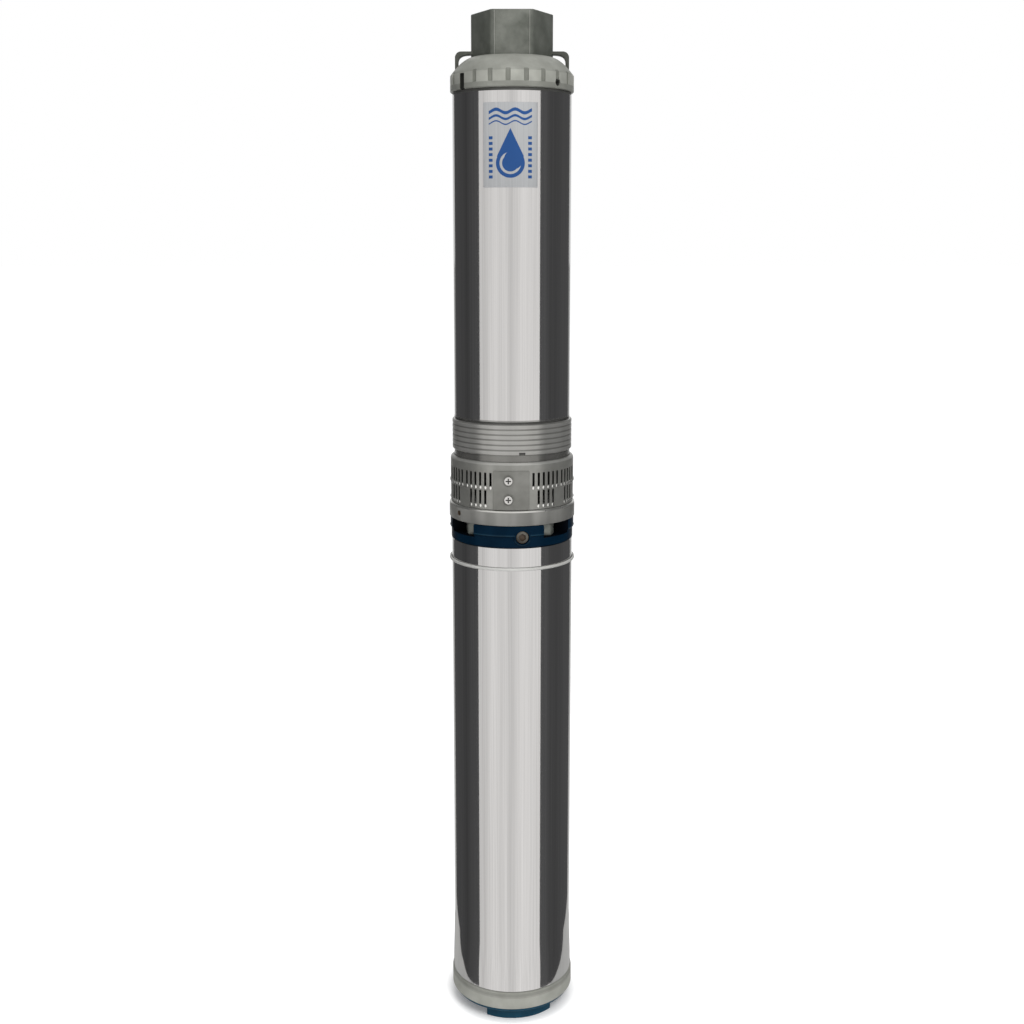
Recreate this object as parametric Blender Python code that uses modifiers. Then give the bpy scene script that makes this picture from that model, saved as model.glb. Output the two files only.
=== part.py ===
"""Borehole submersible pump: a multistage pump end on a canned four-inch motor.

Metres, +Z up, the pump's front towards -Y. The origin is on the pump's axis at the floor that it
stands on. Sections follow the real assembly from the floor up. Angles around the pump are degrees
to the right of the front, as a person who faces the front sees them.
"""

import math

import bmesh
import bpy
from mathutils import Matrix, Vector

# Clearances
GAP = 0.0003
IMPELLER_CLEARANCE = 0.0008
AIR_GAP = 0.0006

# Facets of the turned pieces
OUTER_SIDES = 40
CASTING_SIDES = 32
INNER_SIDES = 20
SMALL_SIDES = 16

# Heights of the sections that show, from the floor up
FOOT_HEIGHT = 0.0106
LID_THICKNESS = 0.0025
BASE_RING_HEIGHT = 0.0146
MOTOR_SHELL_LENGTH = 0.3686
MOTOR_HEAD_HEIGHT = 0.0169
BRACKET_FOOT_HEIGHT = 0.0121
STRAINER_HEIGHT = 0.0366
NECK_HEIGHT = 0.0056
COLLAR_HEIGHT = 0.0251
PUMP_SHELL_LENGTH = 0.2449
SKIRT_HEIGHT = 0.0119
CROWN_HEIGHT = 0.0134
BOSS_HEIGHT = 0.0318

# Radii of the sections that show, as the two shells and the steps from them
FOOT_INSET = 0.0071
FOOT_WIDTH = 0.0095
LID_INSET = 0.00215
BASE_RING_LIP = 0.00175
MOTOR_SHELL_RADIUS = 0.048
MOTOR_SHELL_WALL = 0.0012
SWAGE_SWELL = 0.0009
SWAGE_HEIGHT = 0.0225
MOTOR_HEAD_LIP = 0.001
MOTOR_HEAD_STEP = 0.00075
MOTOR_HEAD_BAND = 0.0078
BRACKET_FOOT_LIP = 0.0007
STRAINER_LEDGE = 0.0012
STRAINER_SHEET = 0.0008
STRAINER_ROOM = 0.0055
COLLAR_LIP = 0.0015
PUMP_SHELL_RADIUS = 0.0455
PUMP_SHELL_WALL = 0.0012
SKIRT_LIP = 0.00135
CROWN_RADIUS = 0.0295
BOSS_FLATS = 0.0545
BOSS_CORNER = 0.0035

# Feet, as the arc that each one covers and the first one's middle
FOOT_ARC = 81.0
FOOT_ANGLE = 11.5
VENT_RADIUS = 0.006

# Motor
SPIGOT_LENGTH = 0.026
SPIGOT_WALL = 0.0035
BELL_WEB = 0.008
BREATHER_RADIUS = 0.004
DIAPHRAGM_INSET = 0.01175
DIAPHRAGM_RIM = 0.0022
DIAPHRAGM_SHEET = 0.0014
DIAPHRAGM_FOLD_ROOM = 0.016
DIAPHRAGM_PLATE_THICKNESS = 0.0015
DIAPHRAGM_TRAVEL = 0.002
BELL_RECESS_DEPTH = 0.0175
THRUST_RADIUS = 0.027
THRUST_PAD_HEIGHT = 0.0047
THRUST_RUNNER_HEIGHT = 0.006
THRUST_JOURNAL_RADIUS = 0.008
SHAFT_RADIUS = 0.0127
SEAL_JOURNAL_RADIUS = 0.011
SPLINE_RADIUS = 0.0078
SPLINE_LENGTH = 0.0255
SHAFT_PROJECTION = 0.0383
BUSH_WALL = 0.004
LOWER_BUSH_LENGTH = 0.0255
UPPER_BUSH_LENGTH = 0.020
LOWER_BRACKET_THICKNESS = 0.0117
BEARING_HUB_WALL = 0.003
STATOR_SEAT = 0.046
STATOR_HEADROOM = 0.0509
ROTOR_END_SETBACK = 0.002
WINDING_OVERHANG = 0.022
WINDING_INSET = 0.0062
WINDING_THICKNESS = 0.015
PILOT_SHOULDER = 0.00535
PILOT_HEIGHT = 0.003
SEAL_RADIUS = 0.020
SEAL_HEIGHT = 0.010
SEAL_LEDGE_RADIUS = 0.0145
SEAL_LEDGE_HEIGHT = 0.002
SLINGER_RADIUS = 0.019
SLINGER_HEIGHT = 0.004
SLINGER_CLEARANCE = 0.001
WIRE_RADIUS = 0.0008
WIRE_DROP = 0.0165

# Studs and nuts that hold the bracket on the motor
STUD_INSET = 0.00555
STUD_ANGLES = (-48.5, 41.5, 131.5, 221.5)
STUD_RADIUS = 0.00397
STUD_NUT_FLATS = 0.0127
STUD_NUT_HEIGHT = 0.009
STUD_END_INSET = 0.001
STUD_ENGAGEMENT = 0.0065
POCKET_SWEEPS = (-25.0, 22.5, -24.0, 24.5)
POCKET_SIDE_ROOM = 0.00105
POCKET_HEIGHT = 0.0097
MOUTH_MARGIN = 0.5
FLANGE_WEB = 0.0006

# Plug and lead socket in the motor head
PLUG_ANGLE = 9.5
PLUG_RADIUS = 0.005
PLUG_DROP = 0.0087
PLUG_DEPTH = 0.006
PLUG_SINK = 0.0006
PLUG_SOCKET_RADIUS = 0.0025
PLUG_SOCKET_DEPTH = 0.0025
LEAD_BORE_RADIUS = 0.005
LEAD_WALL = 0.002
LEAD_DEPTH = 0.012
LEAD_NOTCH_WIDTH = 0.016

# Suction bracket, strainer and its plate
BRACKET_BORE_RADIUS = 0.024
LEG_WALL = 0.005
WINDOW_WIDTH = 0.034
WINDOW_MARGIN = 0.003
RIB_COUNT = 6
GROOVE_DEPTH = 0.0011
BRACKET_SPIGOT_LENGTH = 0.0139
BRACKET_SPIGOT_WALL = 0.006
SLOT_GROUPS = 11
SLOTTED_GROUPS = (1, 2, 3, 4, 7, 8, 9, 10)
SLOT_PITCH = 5.2
SLOT_ANGLE = 2.6
UPPER_SLOTS = 6
LOWER_SLOTS = 4
UPPER_SLOT_HEIGHT = 0.0102
LOWER_SLOT_HEIGHT = 0.0107
UPPER_SLOT_DROP = 0.0082
LOWER_SLOT_RISE = 0.004
PLATE_ANGLE = -0.7
PLATE_HALF_ANGLE = 16.4
PLATE_THICKNESS = 0.0008
PLATE_HEIGHT = 0.0295
PLATE_RISE = 0.0007
SCREW_ANGLE = -3.1
SCREW_HEIGHTS = (0.0083, 0.0229)
SCREW_HEAD_RADIUS = 0.0034
SCREW_HEAD_HEIGHT = 0.0018
SCREW_RADIUS = 0.0019
SCREW_GRIP = 0.0025

# Pump rotor and stages
STAGE_COUNT = 5
DIFFUSER_WALL = 0.0023
DIFFUSER_FLOOR = 0.003
EYE_RADIUS = 0.020
HUB_RADIUS = 0.010
IMPELLER_ROOM = 0.0052
VANE_HEIGHT = 0.009
SHROUD_THICKNESS = 0.0025
VANE_COUNT = 5
VANE_THICKNESS = 0.0018
VANE_SWEEP = 50.0
PUMP_SHAFT_FLATS = 0.0127
SHAFT_END_GAP = 0.0006
COUPLING_RADIUS = 0.013
COUPLING_LENGTH = 0.043
NUT_FLATS = 0.022
NUT_HEIGHT = 0.005
SPIDER_HEIGHT = 0.0124
SPIDER_RING_WALL = 0.0084
SPIDER_ARM = 0.006
TOP_BUSH_WALL = 0.0035
TOP_HUB_WALL = 0.0035

# Discharge head and check valve
HEAD_SPIGOT_LENGTH = 0.0146
CHAMBER_WALL = 0.008
CHAMBER_HEIGHT = 0.023
EXIT_RADIUS = 0.017
EXIT_LENGTH = 0.003
OUTLET_RADIUS = 0.0195
SEAT_HEIGHT = 0.008
SEAT_LIP = 0.002
SEAT_WALL = 0.016
VALVE_LAP = 0.003
VALVE_THICKNESS = 0.004
VALVE_CONE_HEIGHT = 0.004
VALVE_SHOULDER_RADIUS = 0.0055
STEM_RADIUS = 0.004
STEM_REACH = 0.002
GUIDE_HEIGHT = 0.005
GUIDE_RING_WALL = 0.0025
GUIDE_HUB_WALL = 0.003
GUIDE_ARM = 0.0035
SPRING_WIRE = 0.0008
SPRING_TURNS = 3
EYE_INSET = 0.00385
EYE_STRAP = 0.0024
EYE_RISE = 0.0049
EYE_WIDTH = 0.007
ROPE_HOLE_RADIUS = 0.0032
ROPE_HOLE_INSET = 0.0075
ROPE_HOLE_DROP = 0.001
SKIRT_SLOT_ANGLE = -51.9
SKIRT_SLOT_WIDTH = 0.005
SKIRT_SLOT_DEPTH = 0.002
SET_SCREW_ANGLE = 46.0
SET_SCREW_RISE = 0.0044
SET_SCREW_RADIUS = 0.0023
SET_SCREW_LENGTH = 0.0035
SET_SCREW_SINK = 0.0006
LABEL_HALF_ANGLE = 27.2
LABEL_HEIGHT = 0.0608
LABEL_DROP = 0.0105
LABEL_THICKNESS = 0.0004

# Levels, from the floor up
LID_Z = FOOT_HEIGHT
BASE_Z = LID_Z + LID_THICKNESS + GAP
MOTOR_SHELL_Z = BASE_Z + BASE_RING_HEIGHT + GAP
MOTOR_HEAD_Z = MOTOR_SHELL_Z + MOTOR_SHELL_LENGTH + GAP
FACE_Z = MOTOR_HEAD_Z + MOTOR_HEAD_HEIGHT
BRACKET_Z = FACE_Z + GAP
STRAINER_Z = BRACKET_Z + BRACKET_FOOT_HEIGHT + GAP
NECK_Z = STRAINER_Z + STRAINER_HEIGHT
COLLAR_Z = NECK_Z + NECK_HEIGHT
PUMP_SHELL_Z = COLLAR_Z + COLLAR_HEIGHT + GAP
SKIRT_Z = PUMP_SHELL_Z + PUMP_SHELL_LENGTH + GAP
CROWN_Z = SKIRT_Z + SKIRT_HEIGHT
BOSS_Z = CROWN_Z + CROWN_HEIGHT
TOP_Z = BOSS_Z + BOSS_HEIGHT

# Radii and places that neighbouring pieces share
BASE_RING_RADIUS = MOTOR_SHELL_RADIUS + BASE_RING_LIP
LID_RADIUS = BASE_RING_RADIUS - LID_INSET
FOOT_RADIUS = LID_RADIUS - FOOT_INSET
DIAPHRAGM_RADIUS = BASE_RING_RADIUS - DIAPHRAGM_INSET
DIAPHRAGM_PLATE_RADIUS = DIAPHRAGM_RADIUS - DIAPHRAGM_FOLD_ROOM
MOTOR_HEAD_RADIUS = MOTOR_SHELL_RADIUS + MOTOR_HEAD_LIP
PILOT_RADIUS = MOTOR_HEAD_RADIUS - PILOT_SHOULDER
STUD_CIRCLE_RADIUS = PILOT_RADIUS - STUD_INSET
LEAD_CIRCLE_RADIUS = (PILOT_RADIUS + SEAL_RADIUS + GAP) / 2
BRACKET_FOOT_RADIUS = MOTOR_HEAD_RADIUS + BRACKET_FOOT_LIP
STRAINER_RADIUS = BRACKET_FOOT_RADIUS - STRAINER_LEDGE
NECK_RADIUS = STRAINER_RADIUS - STRAINER_ROOM
COLLAR_RADIUS = PUMP_SHELL_RADIUS + COLLAR_LIP
SKIRT_RADIUS = PUMP_SHELL_RADIUS + SKIRT_LIP
EYE_OUTER = SKIRT_RADIUS - EYE_INSET
ROPE_HOLE_X = EYE_OUTER - ROPE_HOLE_INSET
MOTOR_BORE = MOTOR_SHELL_RADIUS - MOTOR_SHELL_WALL
MOTOR_FIT = MOTOR_BORE - GAP
PUMP_BORE = PUMP_SHELL_RADIUS - PUMP_SHELL_WALL
PUMP_FIT = PUMP_BORE - GAP
IMPELLER_RADIUS = PUMP_FIT - DIFFUSER_WALL - IMPELLER_ROOM
CHAMBER_RADIUS = PUMP_FIT - CHAMBER_WALL
SEAT_BORE_RADIUS = CHAMBER_RADIUS + SEAT_LIP - SEAT_WALL
VALVE_RADIUS = SEAT_BORE_RADIUS + VALVE_LAP
BELL_WEB_Z = BASE_Z + BELL_RECESS_DEPTH
THRUST_Z = BELL_WEB_Z + BELL_WEB + GAP
RUNNER_Z = THRUST_Z + THRUST_PAD_HEIGHT + GAP
BELL_TOP_Z = MOTOR_SHELL_Z - GAP + SPIGOT_LENGTH
LOWER_BRACKET_Z = BELL_TOP_Z + GAP
JOURNAL_BORE = SHAFT_RADIUS + GAP
BUSH_RADIUS = JOURNAL_BORE + BUSH_WALL
BUSH_BORE = BUSH_RADIUS + GAP
STATOR_Z = LOWER_BRACKET_Z + STATOR_SEAT
HEAD_BOTTOM_Z = MOTOR_HEAD_Z - UPPER_BUSH_LENGTH + BUSH_WALL
STATOR_LENGTH = HEAD_BOTTOM_Z - STATOR_HEADROOM - STATOR_Z
WINDING_RADIUS = MOTOR_FIT - WINDING_INSET
STATOR_BORE = WINDING_RADIUS - WINDING_THICKNESS
ROTOR_RADIUS = STATOR_BORE - AIR_GAP
PILOT_Z = FACE_Z + PILOT_HEIGHT
SEAL_Z = PILOT_Z - SEAL_HEIGHT - GAP
WEB_Z = FACE_Z - FLANGE_WEB
BRACKET_PLATE_Z = PILOT_Z + 2 * GAP
BRACKET_TOP_Z = BRACKET_Z + BRACKET_FOOT_HEIGHT
MOTOR_SHAFT_TOP_Z = FACE_Z + SHAFT_PROJECTION
SPIGOT_TOP_Z = COLLAR_Z + COLLAR_HEIGHT + BRACKET_SPIGOT_LENGTH
HEAD_SPIGOT_Z = SKIRT_Z - HEAD_SPIGOT_LENGTH
SPIDER_Z = HEAD_SPIGOT_Z - GAP - SPIDER_HEIGHT
STAGE_Z = SPIGOT_TOP_Z + GAP
STAGE_PITCH = (SPIDER_Z - STAGE_Z) / STAGE_COUNT
IMPELLER_Z = STAGE_Z + DIFFUSER_FLOOR + IMPELLER_CLEARANCE
HEX_BORE_FLATS = PUMP_SHAFT_FLATS + 2 * GAP
PUMP_SHAFT_Z = MOTOR_SHAFT_TOP_Z + SHAFT_END_GAP
COUPLING_Z = (MOTOR_SHAFT_TOP_Z + PUMP_SHAFT_Z - COUPLING_LENGTH) / 2
HUB_STACK_TOP_Z = IMPELLER_Z + STAGE_COUNT * STAGE_PITCH
NUT_Z = HEAD_SPIGOT_Z + GAP
PUMP_SHAFT_TOP_Z = NUT_Z + NUT_HEIGHT + SHAFT_END_GAP
SEAT_Z = HEAD_SPIGOT_Z
VALVE_Z = SEAT_Z + SEAT_HEIGHT + GAP
GUIDE_Z = CROWN_Z + CROWN_HEIGHT + GAP
TOP_BUSH_BORE = HUB_RADIUS + GAP
TOP_HUB_BORE = TOP_BUSH_BORE + TOP_BUSH_WALL + GAP


def clear_scene():
    for obj in list(bpy.data.objects):
        bpy.data.objects.remove(obj, do_unlink=True)


def collection(name, hidden=False):
    made = bpy.data.collections.new(name)
    bpy.context.scene.collection.children.link(made)
    made.hide_render = hidden
    return made


def finish(name, colour, roughness, metallic):
    made = bpy.data.materials.new(name)
    made.use_nodes = True
    shader = made.node_tree.nodes["Principled BSDF"]
    shader.inputs["Base Color"].default_value = (*colour, 1.0)
    shader.inputs["Roughness"].default_value = roughness
    shader.inputs["Metallic"].default_value = metallic
    made.diffuse_color = (*colour, 1.0)
    return made


clear_scene()
PUMP = collection("submersible_pump")
CUTTERS = collection("cutters", hidden=True)
POLISHED_STEEL = finish("polished_steel", (0.62, 0.61, 0.60), 0.16, 1.0)
CAST_STEEL = finish("cast_steel", (0.30, 0.30, 0.27), 0.45, 0.8)
PRESSED_STEEL = finish("pressed_steel", (0.42, 0.41, 0.39), 0.32, 1.0)
BLUE_ENAMEL = finish("blue_enamel", (0.010, 0.045, 0.110), 0.35, 0.0)
SHAFT_STEEL = finish("shaft_steel", (0.55, 0.55, 0.56), 0.25, 1.0)
LAMINATION = finish("lamination", (0.20, 0.20, 0.21), 0.5, 0.8)
COPPER = finish("copper", (0.55, 0.24, 0.10), 0.35, 1.0)
CARBON = finish("carbon", (0.03, 0.03, 0.032), 0.5, 0.0)
RUBBER = finish("rubber", (0.02, 0.02, 0.02), 0.7, 0.0)
STAGE_RESIN = finish("stage_resin", (0.04, 0.045, 0.05), 0.5, 0.0)
LABEL_FOIL = finish("label_foil", (0.45, 0.47, 0.50), 0.4, 0.6)
BRASS = finish("brass", (0.45, 0.36, 0.20), 0.35, 1.0)


def add(name, mesh, material=None):
    """Puts a mesh in the scene: a piece where a material is given, otherwise a hidden cutter."""
    obj = bpy.data.objects.new(name, mesh)
    (PUMP if material else CUTTERS).objects.link(obj)
    if material:
        if not mesh.materials:
            mesh.materials.append(material)
    else:
        obj.hide_render = True
        obj.display_type = "WIRE"
    return obj


def turned(name, profile, sides, material=None):
    """A piece turned about Z from (radius, height) points, down the outer side and up the inner one.

    A profile that starts on the axis is a solid, and any other closes on itself as a ring.
    """
    count = len(profile)
    solid = profile[0][0] == 0
    edges = [(i, (i + 1) % count) for i in range(count - 1 if solid else count)]
    mesh = bpy.data.meshes.new(name)
    mesh.from_pydata([(radius, 0, height) for radius, height in profile], edges, [])
    obj = add(name, mesh, material)
    screw = obj.modifiers.new("turn", "SCREW")
    screw.axis = "Z"
    screw.angle = math.tau
    screw.steps = sides
    screw.render_steps = sides
    screw.use_merge_vertices = True
    screw.merge_threshold = 0.00001
    screw.use_smooth_shade = False
    return obj


def ring(name, outer, inner, bottom, height, sides, material=None):
    top = bottom + height
    profile = [(outer, top), (outer, bottom), (inner, bottom), (inner, top)]
    return turned(name, profile, sides, material)


def disc(name, radius, bottom, height, sides, material=None):
    top = bottom + height
    profile = [(0, top), (radius, top), (radius, bottom), (0, bottom)]
    return turned(name, profile, sides, material)


def from_bmesh(name, build, material=None):
    mesh = bpy.data.meshes.new(name)
    shape = bmesh.new()
    build(shape)
    shape.to_mesh(mesh)
    shape.free()
    return add(name, mesh, material)


def around(angle):
    """The turn about Z that takes something made at the front to this angle around the pump."""
    return Matrix.Rotation(math.radians(angle), 4, "Z")


def boxes(name, corners, angles, material=None):
    """One box, given by its low and high corners at the front, copied to each angle."""
    low, high = Vector(corners[0]), Vector(corners[1])
    size = Matrix.Diagonal((*(high - low), 1.0))
    middle = Matrix.Translation((low + high) / 2)

    def build(shape):
        for angle in angles:
            bmesh.ops.create_cube(shape, size=1.0, matrix=around(angle) @ middle @ size)

    return from_bmesh(name, build, material)


def rods(name, radius, bottom, height, sides, places, material=None, turn=0.0):
    """Upright cylinders of one size at (x, y) places."""

    def build(shape):
        for x, y in places:
            matrix = Matrix.Translation((x, y, bottom + height / 2)) @ around(turn)
            bmesh.ops.create_cone(
                shape, cap_ends=True, segments=sides, radius1=radius, radius2=radius,
                depth=height, matrix=matrix,
            )

    return from_bmesh(name, build, material)


def hex_prism(name, flats, bottom, height, places=((0, 0),), material=None):
    """Upright hexagonal prisms with a flat to the front."""
    corner_radius = flats / math.sqrt(3)
    return rods(name, corner_radius, bottom, height, 6, places, material, turn=30.0)


def spoke(name, radius, start, end, height, angle, sides, material=None):
    """A cylinder that points out from the axis, between two distances from it."""
    lie_down = Matrix.Rotation(math.pi / 2, 4, "X")

    def build(shape):
        middle = Matrix.Translation((0, -(start + end) / 2, height))
        bmesh.ops.create_cone(
            shape, cap_ends=True, segments=sides, radius1=radius, radius2=radius,
            depth=end - start, matrix=around(angle) @ middle @ lie_down,
        )

    return from_bmesh(name, build, material)


def evaluated_mesh(obj):
    """The finished mesh of an object, with its loose caps welded."""
    graph = bpy.context.evaluated_depsgraph_get()
    mesh = bpy.data.meshes.new_from_object(obj.evaluated_get(graph))
    shape = bmesh.new()
    shape.from_mesh(mesh)
    bmesh.ops.remove_doubles(shape, verts=shape.verts, dist=0.000001)
    bmesh.ops.recalc_face_normals(shape, faces=shape.faces)
    shape.to_mesh(mesh)
    shape.free()
    return mesh


def plates(name, outlines, thickness, matrix, material=None):
    """Flat outlines given thickness along their own Z, then placed by a matrix."""
    curve = bpy.data.curves.new(name, "CURVE")
    curve.dimensions = "2D"
    curve.fill_mode = "BOTH"
    curve.extrude = thickness / 2
    for outline in outlines:
        spline = curve.splines.new("POLY")
        spline.points.add(len(outline) - 1)
        spline.use_cyclic_u = True
        for point, (x, y) in zip(spline.points, outline):
            point.co = (x, y, 0, 1)
    flat = bpy.data.objects.new(name, curve)
    CUTTERS.objects.link(flat)
    mesh = evaluated_mesh(flat)
    bpy.data.objects.remove(flat)
    mesh.transform(matrix)
    mesh.name = name
    return add(name, mesh, material)


def sector(inner, outer, first, last, steps):
    """Outline of a piece of a ring between two angles around the pump."""
    angles = [math.radians(first + (last - first) * i / steps) for i in range(steps + 1)]
    rim = [(outer * math.sin(a), -outer * math.cos(a)) for a in angles]
    bore = [(inner * math.sin(a), -inner * math.cos(a)) for a in reversed(angles)]
    return rim + bore


def upright(bottom, height):
    return Matrix.Translation((0, 0, bottom + height / 2))


def boolean(obj, tool, operation):
    step = obj.modifiers.new(f"{operation.lower()}_{tool.name}", "BOOLEAN")
    step.operation = operation
    step.object = tool
    return obj


def cut(obj, *tools):
    for tool in tools:
        boolean(obj, tool, "DIFFERENCE")
    return obj


def join(obj, *tools):
    for tool in tools:
        boolean(obj, tool, "UNION")
    return obj


def at_angle(radius, angle):
    turn = math.radians(angle)
    return radius * math.sin(turn), -radius * math.cos(turn)


def coil(name, radius, bottom, top, turns, material):
    """An open compression spring with its wire's centre on a helix."""
    points_per_turn = 8
    count = turns * points_per_turn + 1
    curve = bpy.data.curves.new(name, "CURVE")
    curve.dimensions = "3D"
    curve.bevel_depth = SPRING_WIRE / 2
    curve.bevel_resolution = 2
    curve.use_fill_caps = True
    spline = curve.splines.new("POLY")
    spline.points.add(count - 1)
    for i, point in enumerate(spline.points):
        turn = math.tau * i / points_per_turn
        height = bottom + (top - bottom) * i / (count - 1)
        point.co = (radius * math.cos(turn), radius * math.sin(turn), height, 1)
    guide = bpy.data.objects.new(name, curve)
    CUTTERS.objects.link(guide)
    mesh = evaluated_mesh(guide)
    bpy.data.objects.remove(guide)
    mesh.name = name
    return add(name, mesh, material)


def spider(name, outer, ring_wall, hub, bore, bottom, height, arm, sides, material):
    """A round support: a rim, a bored hub and four arms with openings between them."""
    body = disc(name, outer, bottom, height, sides, material)
    inner = outer - ring_wall
    margin = height
    half_rim = math.degrees(math.asin(arm / 2 / inner))
    half_hub = math.degrees(math.asin(arm / 2 / hub))
    outlines = []
    for quarter in range(4):
        rim = sector(inner, inner, 90 * quarter + half_rim, 90 * quarter + 90 - half_rim, 5)[:6]
        core = sector(hub, hub, 90 * quarter + half_hub, 90 * quarter + 90 - half_hub, 3)[4:]
        outlines.append(rim + core)
    openings = plates(f"{name}_openings", outlines, height + 2 * margin, upright(bottom, height))
    hole = rods(f"{name}_bore", bore, bottom - margin, height + 2 * margin, sides, [(0, 0)])
    return cut(body, openings, hole)


def make_bottom_cover():
    """Blue lid that keeps the diaphragm in, with two arc-shaped feet under it."""
    top = LID_Z + LID_THICKNESS
    inner = FOOT_RADIUS - FOOT_WIDTH
    profile = [
        (LID_RADIUS, top), (LID_RADIUS, LID_Z), (FOOT_RADIUS, LID_Z), (FOOT_RADIUS, 0),
        (inner, 0), (inner, LID_Z), (VENT_RADIUS, LID_Z), (VENT_RADIUS, top),
    ]
    cover = turned("bottom_cover", profile, OUTER_SIDES, BLUE_ENAMEL)
    clear = 1.4 * FOOT_RADIUS
    gap_arc = 180 - FOOT_ARC
    first = FOOT_ANGLE + FOOT_ARC / 2
    outlines = [
        sector(inner / 2, clear, first + 180 * side, first + 180 * side + gap_arc, 3)
        for side in range(2)
    ]
    openings = plates("foot_openings", outlines, 2 * LID_Z, Matrix.Identity(4))
    return cut(cover, openings)


def make_lower_end():
    """Base ring with its spigot, the diaphragm under it and the thrust bearing on it."""
    recess = DIAPHRAGM_RADIUS + GAP
    web_top = BELL_WEB_Z + BELL_WEB
    thrust_room = MOTOR_FIT - SPIGOT_WALL
    base_top = BASE_Z + BASE_RING_HEIGHT
    profile = [
        (MOTOR_FIT, BELL_TOP_Z), (MOTOR_FIT, base_top), (BASE_RING_RADIUS, base_top),
        (BASE_RING_RADIUS, BASE_Z), (recess, BASE_Z), (recess, BELL_WEB_Z),
        (BREATHER_RADIUS, BELL_WEB_Z), (BREATHER_RADIUS, web_top), (thrust_room, web_top),
        (thrust_room, BELL_TOP_Z),
    ]
    turned("lower_end_bell", profile, CASTING_SIDES, CAST_STEEL)

    rim_top = BASE_Z + DIAPHRAGM_RIM
    rim_inner = DIAPHRAGM_RADIUS - 2 * DIAPHRAGM_RIM
    fold = BASE_Z + 2 * DIAPHRAGM_RIM
    shelf = DIAPHRAGM_PLATE_RADIUS + 2 * DIAPHRAGM_RIM
    profile = [
        (0, fold + DIAPHRAGM_SHEET), (shelf, fold + DIAPHRAGM_SHEET), (rim_inner, rim_top),
        (DIAPHRAGM_RADIUS, rim_top), (DIAPHRAGM_RADIUS, BASE_Z), (rim_inner, BASE_Z),
        (shelf, fold), (0, fold),
    ]
    turned("diaphragm", profile, INNER_SIDES, RUBBER)
    plate_top = fold - GAP
    plate_z = plate_top - DIAPHRAGM_PLATE_THICKNESS
    disc("diaphragm_plate", DIAPHRAGM_PLATE_RADIUS, plate_z, DIAPHRAGM_PLATE_THICKNESS,
         INNER_SIDES, PRESSED_STEEL)
    spring_top = BELL_WEB_Z - GAP - SPRING_WIRE / 2
    spring_z = fold + DIAPHRAGM_SHEET + GAP + SPRING_WIRE / 2
    coil("diaphragm_spring", DIAPHRAGM_PLATE_RADIUS / 2, spring_z, spring_top, SPRING_TURNS,
         SHAFT_STEEL)

    pad_inner = THRUST_JOURNAL_RADIUS + BREATHER_RADIUS
    ring("thrust_pad_ring", THRUST_RADIUS, pad_inner, THRUST_Z, THRUST_PAD_HEIGHT, INNER_SIDES,
         CARBON)
    ring("thrust_runner", THRUST_RADIUS, THRUST_JOURNAL_RADIUS + GAP, RUNNER_Z,
         THRUST_RUNNER_HEIGHT, INNER_SIDES, SHAFT_STEEL)


def make_lower_bearing():
    hub = BUSH_BORE + BEARING_HUB_WALL
    top = LOWER_BRACKET_Z + LOWER_BUSH_LENGTH
    flange_top = LOWER_BRACKET_Z + LOWER_BRACKET_THICKNESS
    profile = [
        (MOTOR_FIT, flange_top), (MOTOR_FIT, LOWER_BRACKET_Z), (BUSH_BORE, LOWER_BRACKET_Z),
        (BUSH_BORE, top), (hub, top), (hub, flange_top),
    ]
    turned("lower_bearing_bracket", profile, INNER_SIDES, CAST_STEEL)
    ring("lower_bearing_bush", BUSH_RADIUS, JOURNAL_BORE, LOWER_BRACKET_Z, LOWER_BUSH_LENGTH,
         INNER_SIDES, CARBON)


def make_windings():
    """Wire that turns back at each end of the stator, as rounded rings against its ends."""
    outer = WINDING_RADIUS
    inner = STATOR_BORE + BUSH_WALL
    stator_top = STATOR_Z + STATOR_LENGTH
    edge = (outer - inner) / 4
    for name, base, way in (("lower_winding", STATOR_Z - GAP, -1), ("upper_winding", stator_top + GAP, 1)):
        tip = base + way * WINDING_OVERHANG
        neck = tip - way * edge
        profile = [
            (outer, base), (outer, neck), (outer - edge, tip), (inner + edge, tip),
            (inner, neck), (inner, base),
        ]
        if way > 0:
            profile.reverse()
        turned(name, profile, INNER_SIDES, COPPER)


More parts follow.
